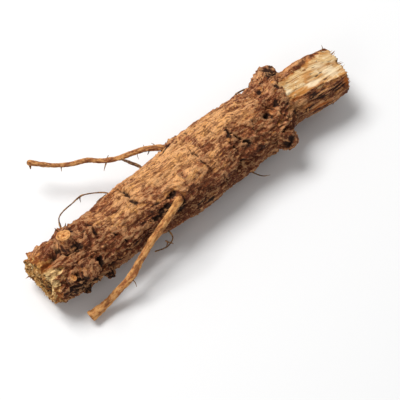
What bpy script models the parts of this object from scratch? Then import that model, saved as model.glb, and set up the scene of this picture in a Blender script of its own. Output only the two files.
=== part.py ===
"""A broken length of dried stillingia root with its side rootlets, lying on its side.

Lengths are in metres and +Z is up. +X runs along the root, from its broken lower end to the upper end where the
bark and some wood have split away. -Y is the front, where the thick rootlet hangs. The origin lies in the middle
of the flat spot that the root rests on. The root grew as one piece, so everything is fused into one solid.
"""

import math

import bmesh
import bpy
from mathutils import Vector, noise

MM = 0.001

# The main root: how long it is, and its line at a few places along it.
ROOT_LENGTH = 134 * MM
ROOT_LINE_MM = (
    # x, radius, y of the centre, z of the centre
    (-67, 10.7, 0.4, 11.0),
    (-55, 10.9, 0.3, 10.9),
    (-40, 11.0, 0.4, 11.2),
    (-27, 11.6, 1.1, 11.8),
    (-16, 12.4, 0.2, 12.3),
    (-3, 13.2, 1.0, 12.5),
    (12, 13.2, 2.5, 12.4),
    (26, 12.9, 2.2, 12.5),
    (35, 12.3, 2.4, 12.8),
    (41, 11.0, 3.6, 13.0),
    (48, 10.1, 3.3, 13.2),
    (59, 10.1, 2.2, 13.6),
    (67, 9.4, 1.7, 13.7),
)

# Angles round the root are in degrees from its top towards the front, so the front is 90 and the back is -90.
SWELLS_MM = (
    # x, angle, height, reach along, reach around
    (-49, 0, 1.8, 5.0, 4.5),  # folded bark beside the cut stub
    (-53, 48, 1.3, 5.5, 5.0),  # foot of the knuckle
    (-51, 118, -0.5, 7.0, 4.0),  # flatter low on the front
    (-60, -67, -1.0, 3.0, 4.0),
    (-62, -35, 0.6, 4.0, 6.0),
    (-64, 5, -2.4, 4.0, 1.9),  # notch where bark has gone from the lower end
    (-59, 170, 0.5, 5.0, 5.0),
    (-28, -25, -0.9, 1.6, 9.0),  # old scar across the back and top
    (-13.5, 38, 0.8, 2.6, 2.6),  # collar of the thick rootlet
    (-20, 62, -1.0, 5.0, 2.6),  # hollow under the thick rootlet
    (-3, -55, 1.1, 5.0, 5.5),  # collar of the long rootlet
    (17, 30, -1.6, 2.0, 5.0),  # crevice across the front
    (17, 57, 1.3, 3.2, 3.0),  # nodule below the crevice
    (13, 74, -1.5, 2.2, 2.2),  # hollow beside the nodule
    (24, 5, 0.7, 6.0, 6.0),
    (30, 22, -1.4, 2.0, 2.0),  # old rootlet scar
    (34, 45, 0.8, 4.5, 6.0),
    (32, 88, 1.0, 4.0, 4.5),  # foot of the hollow stub
    (27.5, 108, -1.3, 4.0, 5.0),  # waist before the hollow stub
    (43, 85, -1.1, 3.0, 7.0),  # waist beyond it
    (38.5, -67, 0.8, 2.0, 4.0),
    (42, -62, 3.0, 4.4, 4.6),  # gnarl on the back
    (46, -50, -0.8, 2.0, 2.0),
    (40, -15, 1.2, 3.5, 8.0),  # edge of the bark above the split
    (-8, 150, 0.8, 6.0, 5.0),
    (5, -120, 0.9, 5.0, 5.0),  # swelling on the back
    (-34, -125, 0.7, 6.0, 5.0),
)

# Bark relief: broad waves everywhere, long wrinkles along the root, and coarse lumps near the two knobbly places.
WAVE_HEIGHT, WAVE_LENGTH = 0.7 * MM, 8 * MM
WRINKLE_HEIGHT, WRINKLE_LENGTH, WRINKLES_AROUND = 0.6 * MM, 24 * MM, 3.6
LUMP_HEIGHT, LUMP_LENGTH = 1.4 * MM, 4.5 * MM
LUMPY_PLACES_MM = ((-54, 9), (36, 11))  # x of the middle, reach

# The split upper end: a slanting flat that leaves the bark as a rim round the pale wood.
SPLIT_FACING, SPLIT_FACING_AT_END = 8.0, -7.0  # angle that the flat faces, where it starts and at the end
SPLIT_START_X, SPLIT_START_HALF_ANGLE = 41 * MM, 20.0
SPLIT_END_X, SPLIT_END_HALF_ANGLE = 67 * MM, 57.0
SPLIT_STEP, SPLIT_STEP_REACH = 0.9 * MM, 1.2 * MM
SPLIT_GRAIN = 0.35 * MM

# Both ends are broken across, with a ragged edge and a rough face.
LOWER_RAGGED, UPPER_RAGGED = 0.8 * MM, 1.3 * MM
# How far an end's middle lies beyond the root's length, how much farther it reaches at its longest side, and where
LOWER_SLANT, UPPER_SLANT = (1.6 * MM, 1.1 * MM, -110.0), (0.7 * MM, 1.4 * MM, -75.0)
LOWER_CORNER_ANGLE, LOWER_CORNER_REACH, LOWER_CORNER = 105.0, 30.0, 1.6 * MM  # the lower end's front corner
FACE_ROUGHNESS, FACE_LENGTH = 1.0 * MM, 2.6 * MM
END_ROUNDING = 0.05  # share of the radius lost at the very edge

RINGS, SIDES, FACE_RINGS = 84, 44, 6

# Stubs of rootlets that were cut or broken off.
STUBS_MM = (
    # x, angle of the foot, angle it points at, lean along the root, radius, how far it stands out,
    # depth of its hollow tip, or less than 0: a dome
    (-55.8, -9, -23, 0.09, 2.45, 3.7, 0.3),
    (-54.0, 54, 50, 0.25, 3.2, 1.7, -0.6),
    (-57.2, 104, 110, -0.10, 1.4, 2.0, 0.4),
    (-47.6, 107, 112, 0.15, 1.7, 2.6, 0.6),
    (33.6, 84, 80, 0.10, 3.3, 2.2, 1.4),
    (44.6, -58, -45, 0.30, 2.1, 1.6, 0.8),
    (12.0, -128, -120, 0.30, 1.8, 2.2, 0.6),
    (-24.0, -138, -138, 0.20, 1.4, 1.4, 0.3),
)
STUB_SIDES, STUB_UNEVENNESS = 12, 0.45
STUB_PROFILE = (
    # share of the stub's height, share of its radius
    (-0.9, 1.30),
    (0.0, 1.22),
    (0.5, 1.00),
    (0.8, 1.04),
    (1.0, 0.88),
    (1.0, 0.60),
)

# Rootlets: each route starts well inside the root and ends free, or back inside the bark.
THICK_ROOTLET_MM = (
    (-13.5, -6.5, 18.4),
    (-15.6, -9.0, 21.4),
    (-22.2, -11.4, 20.5),
    (-30.5, -13.3, 16.9),
    (-37.4, -15.2, 13.2),
    (-42.6, -17.1, 10.5),
    (-48.3, -17.6, 7.9),
    (-54.6, -17.9, 5.0),
    (-61.0, -17.8, 3.2),
)
THICK_RADII_MM = (1.6, 1.45, 1.35, 1.3, 1.25, 1.4, 1.3, 1.35, 1.9)
LONG_ROOTLET_MM = (
    (-1.5, 10.5, 16.2),
    (-6.0, 14.8, 16.5),
    (-12.0, 18.4, 15.8),
    (-19.0, 21.2, 14.5),
    (-24.0, 24.0, 14.0),
    (-29.0, 28.0, 14.2),
    (-34.0, 30.6, 13.4),
    (-39.5, 34.6, 13.1),
    (-45.3, 40.2, 13.7),
)
LONG_RADII_MM = (1.7, 1.1, 1.0, 0.95, 0.85, 0.9, 0.85, 0.8, 1.0)
ARCHED_WIRE_MM = (
    (-30.0, 8.0, 16.0),
    (-32.6, 11.4, 18.0),
    (-38.5, 15.0, 18.2),
    (-40.5, 15.6, 18.0),
    (-44.5, 15.3, 17.5),
    (-48.2, 15.0, 17.0),
    (-51.0, 13.6, 16.9),
    (-53.0, 9.2, 15.0),
)
HOOKED_WIRE_MM = (
    (-21.6, -8.0, 7.6),
    (-21.0, -11.6, 6.8),
    (-21.6, -12.9, 5.2),
    (-24.4, -13.2, 3.6),
    (-28.6, -11.6, 2.4),
)
DARK_SPUR_MM = (
    (-14.4, 9.4, 15.0),
    (-16.6, 13.2, 17.0),
    (-18.2, 16.0, 17.4),
    (-19.6, 19.0, 17.2),
)
BACK_WIRE_MM = (
    (28.0, 11.5, 11.0),
    (30.0, 16.5, 9.5),
    (34.5, 20.0, 6.0),
    (40.5, 20.8, 3.2),
    (46.0, 19.0, 2.0),
)
UNDER_WIRE_MM = (
    (-38.0, 9.0, 7.0),
    (-37.0, 13.2, 5.6),
    (-33.5, 16.6, 3.4),
    (-28.5, 18.2, 1.8),
)
WIRE_RADIUS_MM = 0.45
SPUR_RADIUS_MM = 0.60
ROOTLET_STEP = 3 * MM
ROOTLET_SIDES, WIRE_SIDES = 8, 5


def between(rows, place):
    """The other numbers of rows at this place, on a smooth curve through them; a row starts with its place."""
    last = len(rows) - 2
    index = next((i for i in range(last) if place < rows[i + 1][0]), last)
    before, here, there, beyond = (
        rows[max(index - 1, 0)],
        rows[index],
        rows[index + 1],
        rows[min(index + 2, len(rows) - 1)],
    )
    span = there[0] - here[0]
    share = (place - here[0]) / span
    values = []
    for column in range(1, len(here)):
        slope_here = span * (there[column] - before[column]) / (there[0] - before[0])
        slope_there = span * (beyond[column] - here[column]) / (beyond[0] - here[0])
        values.append(
            (2 * share**3 - 3 * share**2 + 1) * here[column]
            + (share**3 - 2 * share**2 + share) * slope_here
            + (3 * share**2 - 2 * share**3) * there[column]
            + (share**3 - share**2) * slope_there
        )
    return values


def root_line(x):
    """Radius and centre of the plain root at x, before any bark relief."""
    radius, y, z = (value * MM for value in between(ROOT_LINE_MM, x / MM))
    return radius, y, z


def turned(angle, other):
    """Degrees from one angle to another, between -180 and 180."""
    return (angle - other + 180) % 360 - 180


def outward(angle):
    """The direction out of the root at an angle from its top towards the front."""
    return Vector((0, -math.sin(math.radians(angle)), math.cos(math.radians(angle))))


def ring_noise(x, angle, length, around, seed):
    """Smooth noise over the root's surface that joins up round it; around is how many waves it has to each side."""
    way = outward(angle) * around
    return noise.noise(Vector((x / length + seed, way.y, way.z)))


def swell_height(x, angle, radius):
    """Height of the named swellings and hollows at a place on the surface."""
    total = 0
    for middle, facing, height, along, around in SWELLS_MM:
        off_x = (x / MM - middle) / along
        off_arc = math.radians(turned(angle, facing)) * radius / MM / around
        total += height * math.exp(-(off_x**2) - off_arc**2)
    return total * MM


def bark_height(x, angle, radius):
    """Height of the bark over the plain root."""
    waves_around = radius / WAVE_LENGTH
    waves = WAVE_HEIGHT * ring_noise(x, angle, WAVE_LENGTH, waves_around, 3.7)
    wrinkles = WRINKLE_HEIGHT * ring_noise(x, angle, WRINKLE_LENGTH, WRINKLES_AROUND, 11.2)
    lumpy = sum(math.exp(-(((x / MM - middle) / reach) ** 2)) for middle, reach in LUMPY_PLACES_MM)
    lumps = LUMP_HEIGHT * ring_noise(x, angle, LUMP_LENGTH, radius / LUMP_LENGTH, 23.5)
    return swell_height(x, angle, radius) + waves + wrinkles + lumpy * lumps


def split_radius(x, angle, radius):
    """The radius after the slanting split, which only takes material away."""
    reach = (x - SPLIT_START_X) / (SPLIT_END_X - SPLIT_START_X)
    middle = SPLIT_FACING + min(max(reach, 0), 1) * (SPLIT_FACING_AT_END - SPLIT_FACING)
    facing = math.cos(math.radians(turned(angle, middle)))
    if reach < 0 or facing < 0.2:
        return radius
    half_angle = SPLIT_START_HALF_ANGLE + reach * (SPLIT_END_HALF_ANGLE - SPLIT_START_HALF_ANGLE)
    plain_radius, _, _ = root_line(x)
    flat = plain_radius * math.cos(math.radians(half_angle)) / facing
    under_bark = min(max((radius - flat) / SPLIT_STEP_REACH, 0), 1)
    grain = SPLIT_GRAIN * ring_noise(x, angle, 12 * MM, 5, 41.0)
    return min(radius, flat - under_bark * (SPLIT_STEP + grain))


def surface_point(x, angle):
    """A point of the root's surface. Nothing reaches under the surface that the root rests on."""
    radius, y, z = root_line(x)
    full = split_radius(x, angle, radius + bark_height(x, angle, radius))
    point = Vector((x, y, z)) + outward(angle) * full
    point.z = max(point.z, 0)
    return point


def ragged_end(side, angle):
    """x of the broken edge at an angle: side is -1 at the lower end and 1 at the upper end."""
    depth, seed = (LOWER_RAGGED, 51.0) if side < 0 else (UPPER_RAGGED, 57.0)
    coarse = ring_noise(0, angle, MM, 1.6, seed)
    fine = ring_noise(0, angle, MM, 5.0, seed + 9)
    corner = LOWER_CORNER * math.exp(-((turned(angle, LOWER_CORNER_ANGLE) / LOWER_CORNER_REACH) ** 2))
    longer = corner if side < 0 else 0
    return slanted_end(side, angle, 1) + side * (longer + depth * (coarse + 0.6 * fine))


def slanted_end(side, angle, share):
    """x of an end's slanting plane at an angle and a share of the way out to the edge."""
    beyond, farther, facing = LOWER_SLANT if side < 0 else UPPER_SLANT
    lean = farther * share * math.cos(math.radians(turned(angle, facing)))
    return side * (ROOT_LENGTH / 2 + beyond + lean)


def face_point(side, angle, share):
    """A point of a broken end's face: share is 1 at the edge and 0 in the middle."""
    edge = surface_point(ragged_end(side, angle), angle)
    _, y, z = root_line(side * ROOT_LENGTH / 2)
    flat_x = slanted_end(side, angle, share)
    point = Vector((flat_x, y, z)).lerp(Vector((flat_x, edge.y, edge.z)), share)
    rough = noise.noise(point / FACE_LENGTH) + 0.5 * noise.noise(point / FACE_LENGTH * 2.1)
    point.x += side * FACE_ROUGHNESS * rough * min(1, 4 * (1 - share))
    point.x += (edge.x - flat_x) * share**4
    return point


def main_root():
    """The main root as rings of points with a rough face on each end."""
    mesh = bmesh.new()
    angles = [360 * i / SIDES for i in range(SIDES)]
    rings = []
    for step in range(1, FACE_RINGS):
        share = step / FACE_RINGS
        rings.append([mesh.verts.new(face_point(-1, angle, share)) for angle in angles])
    for step in range(RINGS + 1):
        share = step / RINGS
        ring = []
        for angle in angles:
            lower, upper = ragged_end(-1, angle), ragged_end(1, angle)
            x = lower + share * (upper - lower)
            point = surface_point(x, angle)
            if step in (0, RINGS):
                _, y, z = root_line(x)
                point = point.lerp(Vector((x, y, z)), END_ROUNDING)
            ring.append(mesh.verts.new(point))
        rings.append(ring)
    for step in range(FACE_RINGS - 1, 0, -1):
        share = step / FACE_RINGS
        rings.append([mesh.verts.new(face_point(1, angle, share)) for angle in angles])
    for ring, following in zip(rings, rings[1:]):
        join_rings(mesh, ring, following)
    close_end(mesh, rings[0], face_point(-1, 0, 0), True)
    close_end(mesh, rings[-1], face_point(1, 0, 0), False)
    return finished("root", mesh)


def join_rings(mesh, ring, following):
    """Faces between two rings of as many points; the rings run the same way round."""
    count = len(ring)
    for i in range(count):
        j = (i + 1) % count
        mesh.faces.new((ring[i], ring[j], following[j], following[i]))


def close_end(mesh, ring, middle, at_start):
    """Closes a row of rings with triangles to a point in its middle."""
    tip = mesh.verts.new(middle)
    count = len(ring)
    for i in range(count):
        j = (i + 1) % count
        corners = (ring[j], ring[i], tip) if at_start else (ring[i], ring[j], tip)
        mesh.faces.new(corners)


def finished(name, mesh):
    """The mesh as an object of that name, with its faces pointing out."""
    bmesh.ops.recalc_face_normals(mesh, faces=mesh.faces)
    data = bpy.data.meshes.new(name)
    mesh.to_mesh(data)
    mesh.free()
    data.shade_smooth()
    return bpy.data.objects.new(name, data)


def ring_round(mesh, centre, direction, reference, radius, sides, unevenness=0.0):
    """A ring of points round a centre, square to a direction; reference keeps one ring in line with the next."""
    across = (reference - direction * reference.dot(direction)).normalized()
    upright = direction.cross(across)
    ring = []
    for i in range(sides):
        turn = math.tau * i / sides
        way = across * math.cos(turn) + upright * math.sin(turn)
        lump = 1 + unevenness * noise.noise(centre / (5 * MM) + 1.3 * way)
        ring.append(mesh.verts.new(centre + way * radius * lump))
    return ring


def stub(number, x_mm, angle, toward, lean, radius_mm, height_mm, hollow_mm):
    """What is left of a rootlet that was cut off: a short flared stump with a hollow tip."""
    mesh = bmesh.new()
    x, radius, height = x_mm * MM, radius_mm * MM, height_mm * MM
    plain_radius, y, z = root_line(x)
    way = (outward(toward) + Vector((lean, 0, 0))).normalized()
    foot = Vector((x, y, z)) + outward(angle) * (plain_radius + bark_height(x, angle, plain_radius))
    side = Vector((1, 0, 0))
    rings = [
        ring_round(mesh, foot + way * share * height, way, side, radius * width, STUB_SIDES, STUB_UNEVENNESS)
        for share, width in STUB_PROFILE
    ]
    for ring, following in zip(rings, rings[1:]):
        join_rings(mesh, ring, following)
    inside = foot + way * rings_start(STUB_PROFILE) * height
    close_end(mesh, rings[0], inside, True)
    close_end(mesh, rings[-1], foot + way * (height - hollow_mm * MM), False)
    return finished(f"stub_{number}", mesh)


def rings_start(profile):
    """The place of a profile's first ring."""
    return profile[0][0]


def smooth_route(points, radii, step):
    """Points and radii about step apart on a smooth curve through a route."""
    reached, rows = 0, []
    for index, (point, radius) in enumerate(zip(points, radii)):
        if index:
            reached += (Vector(point) - Vector(points[index - 1])).length
        rows.append((reached, *point, radius))
    count = max(len(points), round(reached * MM / step))
    made = [between(rows, reached * i / count) for i in range(count + 1)]
    return [Vector(row[:3]) * MM for row in made], [row[3] * MM for row in made]


def rootlet(name, route_mm, radii_mm, sides):
    """A tapering side root along its route."""
    mesh = bmesh.new()
    points, radii = smooth_route(route_mm, radii_mm, ROOTLET_STEP)
    reference = Vector((0, 0.3, 1))
    rings = []
    for index, (point, radius) in enumerate(zip(points, radii)):
        ahead = points[min(index + 1, len(points) - 1)]
        behind = points[max(index - 1, 0)]
        direction = (ahead - behind).normalized()
        rings.append(ring_round(mesh, point, direction, reference, radius, sides))
    for ring, following in zip(rings, rings[1:]):
        join_rings(mesh, ring, following)
    close_end(mesh, rings[0], points[0], True)
    close_end(mesh, rings[-1], points[-1], False)
    return finished(name, mesh)


def outgrowths():
    """Everything that grows out of the main root."""
    grown = [stub(number, *row) for number, row in enumerate(STUBS_MM)]
    grown.append(rootlet("thick_rootlet", THICK_ROOTLET_MM, THICK_RADII_MM, ROOTLET_SIDES))
    grown.append(rootlet("long_rootlet", LONG_ROOTLET_MM, LONG_RADII_MM, ROOTLET_SIDES))
    wires = {
        "arched_wire": (ARCHED_WIRE_MM, WIRE_RADIUS_MM),
        "hooked_wire": (HOOKED_WIRE_MM, WIRE_RADIUS_MM),
        "dark_spur": (DARK_SPUR_MM, SPUR_RADIUS_MM),
        "back_wire": (BACK_WIRE_MM, WIRE_RADIUS_MM),
        "under_wire": (UNDER_WIRE_MM, WIRE_RADIUS_MM),
    }
    for name, (route, radius) in wires.items():
        grown.append(rootlet(name, route, [radius] * len(route), WIRE_SIDES))
    return grown


def fuse(body, grown):
    """Joins the outgrowths to the body as one solid, and removes their own objects."""
    gathered = bpy.data.collections.new("outgrowths")
    bpy.context.scene.collection.children.link(gathered)
    for piece in grown:
        gathered.objects.link(piece)
    union = body.modifiers.new("union", "BOOLEAN")
    union.operation = "UNION"
    union.solver = "EXACT"
    union.operand_type = "COLLECTION"
    union.collection = gathered
    bpy.context.view_layer.update()
    graph = bpy.context.evaluated_depsgraph_get()
    joined = bpy.data.meshes.new_from_object(body.evaluated_get(graph))
    body.modifiers.remove(union)
    body.data = joined
    for piece in grown:
        bpy.data.objects.remove(piece)
    bpy.data.collections.remove(gathered)


def bark_material():
    """Dry brown bark, matt."""
    material = bpy.data.materials.new("bark")
    material.use_nodes = True
    shader = material.node_tree.nodes["Principled BSDF"]
    shader.inputs["Base Color"].default_value = (0.35, 0.19, 0.09, 1)
    shader.inputs["Roughness"].default_value = 0.85
    shader.inputs["Metallic"].default_value = 0
    return material


def main():
    for leftover in list(bpy.data.objects):
        bpy.data.objects.remove(leftover)
    body = main_root()
    bpy.context.scene.collection.objects.link(body)
    fuse(body, outgrowths())
    body.data.materials.clear()
    body.data.materials.append(bark_material())


main()
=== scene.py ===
# %% [markdown]
# # A dried stillingia root
# The object is a broken length of root, about 134 mm long, as a herb seller keeps it. Most of it is rough
# brown bark, one end has split down to pale wood, and thin side rootlets still hang on it. This lesson
# starts from a plain solid of the right size and gives it bark, wood, fibres and colour. Nothing is
# scanned and no image is painted: each shape and each finish comes from numbers, noise and Blender's
# shader nodes. Some of the colours carry painted shade and painted highlights.

import math

import bpy
import numpy as np
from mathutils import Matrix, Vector, noise


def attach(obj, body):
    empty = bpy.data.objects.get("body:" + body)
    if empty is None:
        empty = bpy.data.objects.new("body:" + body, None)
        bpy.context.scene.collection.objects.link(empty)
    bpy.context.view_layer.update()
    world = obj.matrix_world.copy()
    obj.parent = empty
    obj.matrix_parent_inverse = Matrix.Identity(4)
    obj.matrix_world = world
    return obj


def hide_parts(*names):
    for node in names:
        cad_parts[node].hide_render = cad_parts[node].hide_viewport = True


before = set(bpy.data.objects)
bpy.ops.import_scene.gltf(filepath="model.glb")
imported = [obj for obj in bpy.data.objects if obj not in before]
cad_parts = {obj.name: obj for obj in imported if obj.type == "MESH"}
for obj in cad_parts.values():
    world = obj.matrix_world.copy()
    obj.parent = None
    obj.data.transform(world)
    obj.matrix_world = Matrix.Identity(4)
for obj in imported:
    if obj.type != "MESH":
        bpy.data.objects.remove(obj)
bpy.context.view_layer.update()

# %% [markdown]
# ## Camera and light
# The root is seen from above its front, a little from its lower end. A long lens from half a metre away
# keeps the near end from looking swollen. One large soft lamp stands above and behind the root, so that
# its back is bright and its front falls into shade, which is what makes rough bark readable. A weak lamp
# at its lower end and the sky give the rest. The floor is a pale sheet.

# %% The camera
MM = 0.001
VIEW_AROUND = math.radians(38.6)
VIEW_UP = math.radians(62)
CAMERA_DISTANCE = 480 * MM
AIM = Vector((-4.73, -7.37, 7.37)) * MM

level = math.cos(VIEW_UP)
view_direction = Vector((math.sin(VIEW_AROUND) * level, math.cos(VIEW_AROUND) * level, -math.sin(VIEW_UP)))
camera_data = bpy.data.cameras.new("camera")
camera_data.lens = 120
camera_data.sensor_width = 36
camera_data.clip_start = 0.01
camera = bpy.data.objects.new("camera", camera_data)
camera.location = AIM - view_direction * CAMERA_DISTANCE
camera.rotation_euler = view_direction.to_track_quat("-Z", "Y").to_euler()
bpy.context.scene.collection.objects.link(camera)
bpy.context.scene.camera = camera
bpy.context.scene.view_settings.view_transform = "Standard"
print("camera at", [round(v, 3) for v in camera.location])

# %% The lamps and the sky
LAMPS = (
    # name, direction that it stands in, distance in m, size in m, power in W
    ("key_lamp", (-0.14, 0.45, 0.90), 1.1, 0.5, 11.5),
    ("side_lamp", (-0.75, -0.35, 0.55), 1.2, 0.5, 1.2),
)
SKY_STRENGTH = 0.36


def soft_lamp(name, direction, distance, size, power):
    """A square soft lamp that looks at the root from a direction."""
    data = bpy.data.lights.new(name, "AREA")
    data.size = size
    data.energy = power
    lamp = bpy.data.objects.new(name, data)
    toward = Vector(direction).normalized()
    lamp.location = toward * distance
    lamp.rotation_euler = (-toward).to_track_quat("-Z", "Y").to_euler()
    bpy.context.scene.collection.objects.link(lamp)


for row in LAMPS:
    soft_lamp(*row)
world = bpy.data.worlds.new("sky")
world.use_nodes = True
world.node_tree.nodes["Background"].inputs["Color"].default_value = (1, 1, 1, 1)
world.node_tree.nodes["Background"].inputs["Strength"].default_value = SKY_STRENGTH
bpy.context.scene.world = world
print("lamps", [row[0] for row in LAMPS], "and a sky of strength", SKY_STRENGTH)

# %% The floor
FLOOR_SIZE = 6.0
FLOOR_COLOR = (0.86, 0.86, 0.86, 1)
corners = [(-1, -1, 0), (1, -1, 0), (1, 1, 0), (-1, 1, 0)]
floor_mesh = bpy.data.meshes.new("floor")
floor_mesh.from_pydata([Vector(c) * FLOOR_SIZE / 2 for c in corners], [], [(0, 1, 2, 3)])
floor = bpy.data.objects.new("floor", floor_mesh)
floor_material = bpy.data.materials.new("pale_floor")
floor_material.use_nodes = True
floor_shader = floor_material.node_tree.nodes["Principled BSDF"]
floor_shader.inputs["Base Color"].default_value = FLOOR_COLOR
floor_shader.inputs["Roughness"].default_value = 0.9
floor_mesh.materials.append(floor_material)
bpy.context.scene.collection.objects.link(floor)
print("floor", FLOOR_SIZE, "m wide")

# %% [markdown]
# ## The line of the root
# A root is a bent, swelling pole. Its middle line and its radius are given at a few places, and a smooth
# curve runs through them. A place on the bark is then told by two numbers: how far along the root it is,
# and the angle from the top towards the front. The whole surface is worked out from those two, many
# thousand places at a time, in millimetres.

# %% The smooth curve through the places
ROOT_LENGTH = 134
LINE_REACH, LINE_COUNT = 73, 585
ROOT_LINE = (
    # x, radius, y of the centre, z of the centre
    (-67, 10.7, 0.4, 11.0),
    (-55, 10.9, 0.3, 10.9),
    (-40, 11.0, 0.4, 11.2),
    (-27, 11.6, 1.1, 11.8),
    (-16, 12.4, 0.2, 12.3),
    (-3, 13.2, 1.0, 12.5),
    (12, 13.2, 2.5, 12.4),
    (26, 12.9, 2.2, 12.5),
    (35, 12.3, 2.4, 12.8),
    (41, 11.0, 3.6, 13.0),
    (48, 10.1, 3.3, 13.2),
    (59, 10.1, 2.2, 13.6),
    (67, 9.4, 1.7, 13.7),
)


def smooth_between(rows, place):
    """The other numbers of rows at a place, on a smooth curve through them; a row starts with its place."""
    last = len(rows) - 2
    index = next((i for i in range(last) if place < rows[i + 1][0]), last)
    before, here = rows[max(index - 1, 0)], rows[index]
    there, beyond = rows[index + 1], rows[min(index + 2, len(rows) - 1)]
    span = there[0] - here[0]
    share = (place - here[0]) / span
    values = []
    for column in range(1, len(here)):
        slope_here = span * (there[column] - before[column]) / (there[0] - before[0])
        slope_there = span * (beyond[column] - here[column]) / (beyond[0] - here[0])
        values.append(
            (2 * share**3 - 3 * share**2 + 1) * here[column]
            + (share**3 - 2 * share**2 + share) * slope_here
            + (3 * share**2 - 2 * share**3) * there[column]
            + (share**3 - share**2) * slope_there
        )
    return values


LINE_PLACES = np.linspace(-LINE_REACH, LINE_REACH, LINE_COUNT)
LINE_VALUES = np.array([smooth_between(ROOT_LINE, place) for place in LINE_PLACES])


def root_line(x):
    """Radius and centre of the plain root at x, which can be an array."""
    return [np.interp(x, LINE_PLACES, column) for column in LINE_VALUES.T]


print("radius at the middle of the root", round(float(root_line(0)[0]), 2), "mm")

# %% [markdown]
# ## Noise on the bark
# Bark is random, but its grain runs along the root. Blender's noise is read in a space that is stretched
# along the root and wrapped round it, so the pattern has no seam. The helpers below give noise, soft
# steps and soft round marks, and every later relief is a sum of those three.

# %% Noise, steps and marks
# each octave is NOISE_FINER times finer, and weaker by that number to the power of NOISE_WEAKER
NOISE_FINER, NOISE_WEAKER = 2.1, 0.8


def turned(angle, other):
    """Degrees from one angle to another, between -180 and 180."""
    return (angle - other + 180) % 360 - 180


def ring_noise(x, angle, length, around, seed, octaves=1):
    """Noise that joins up round the root; around is how many waves it has to each side of the middle line."""
    turn = np.radians(angle)
    x, turn, around = np.broadcast_arrays(np.asarray(x, float), turn, around)
    places = np.stack([x / length + seed, -np.sin(turn) * around, np.cos(turn) * around], axis=-1)
    rows = places.reshape(-1, 3).tolist()
    if octaves == 1:
        values = [noise.noise(row) for row in rows]
    else:
        values = [noise.fractal(row, NOISE_WEAKER, NOISE_FINER, octaves) for row in rows]
    return np.array(values).reshape(x.shape)


def soft_step(low, high, value):
    """0 below low and 1 above high, with a smooth rise between; low may be the larger one."""
    share = np.clip((value - low) / (high - low), 0, 1)
    return share * share * (3 - 2 * share)


def marks(x, angle, radius, rows):
    """Sum of soft round marks. A row is x, angle, height, reach along and reach around."""
    total = np.zeros(np.broadcast(x, angle).shape)
    for middle, facing, height, along, around in rows:
        off_x = (x - middle) / along
        off_arc = np.radians(turned(angle, facing)) * radius / around
        total += height * np.exp(-(off_x**2) - off_arc**2)
    return total


def share_marked(x, angle, radius, rows):
    """Soft round marks as a share between 0 and 1."""
    return np.clip(marks(x, angle, radius, rows), 0, 1)


def distance_to_line(x, angle, radius, corners):
    """Distance over the bark, in mm, to a line with corners at pairs of x and angle."""
    nearest = np.full(np.broadcast(x, angle).shape, np.inf)
    for (x_a, angle_a), (x_b, angle_b) in zip(corners, corners[1:]):
        arc = np.radians(turned(angle, angle_a)) * radius
        arc_b = math.radians(angle_b - angle_a) * radius
        off = x - x_a
        span = x_b - x_a
        share = np.clip((off * span + arc * arc_b) / (span**2 + arc_b**2), 0, 1)
        nearest = np.minimum(nearest, np.hypot(off - share * span, arc - share * arc_b))
    return nearest


def cloud(points, length, seed, octaves):
    """Noise at points in mm that has no direction."""
    rows = (points.reshape(-1, 3) / length + seed).tolist()
    values = [noise.fractal(row, NOISE_WEAKER, NOISE_FINER, octaves) for row in rows]
    return np.array(values).reshape(points.shape[:-1])


print("from 350 to 20 degrees is a turn of", turned(20, 350), "degrees")

# %% [markdown]
# ## The form of the bark
# The large forms come first: swellings where rootlets leave, hollows, an old scar, the gnarl on the back.
# They stand where the plain solid has them, so the dressed root fills the same space. Grain is like water
# round a stone: it parts in front of a knot and closes behind it. Turning the angle that the noise is
# read at does the same.

# %% The grain parts round the knots
KNOTS = (
    # x, angle, reach
    (-15.5, 41, 2.6),
    (-3.0, -55, 3.4),
    (-55.8, -9, 3.0),
    (-54.0, 54, 3.2),
    (-9.0, 14, 1.6),
    (17.0, 57, 2.0),
    (29.8, 22, 1.8),
    (33.6, 90, 3.0),
    (41.0, -62, 4.0),
    (-24.0, -138, 1.8),
    (12.0, -128, 2.2),
    (-8.0, 150, 3.5),
    (5.0, -100, 2.5),
)
KNOT_CORE = 0.4


def parted(x, angle, radius):
    """The angle that the noise is read at, so that the grain runs round the knots."""
    bent = angle
    for middle, facing, reach in KNOTS:
        arc = np.radians(turned(angle, facing)) * radius
        away = (x - middle) ** 2 + arc**2
        bent = bent - np.degrees(arc / radius) * reach**2 / (away + KNOT_CORE * reach**2)
    return bent


bent_most = max(abs(float(parted(row[0], row[1] + 12, 12)) - row[1] - 12) for row in KNOTS)
print("knots", len(KNOTS), "and the grain beside them turns by up to", round(bent_most), "degrees")

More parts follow.
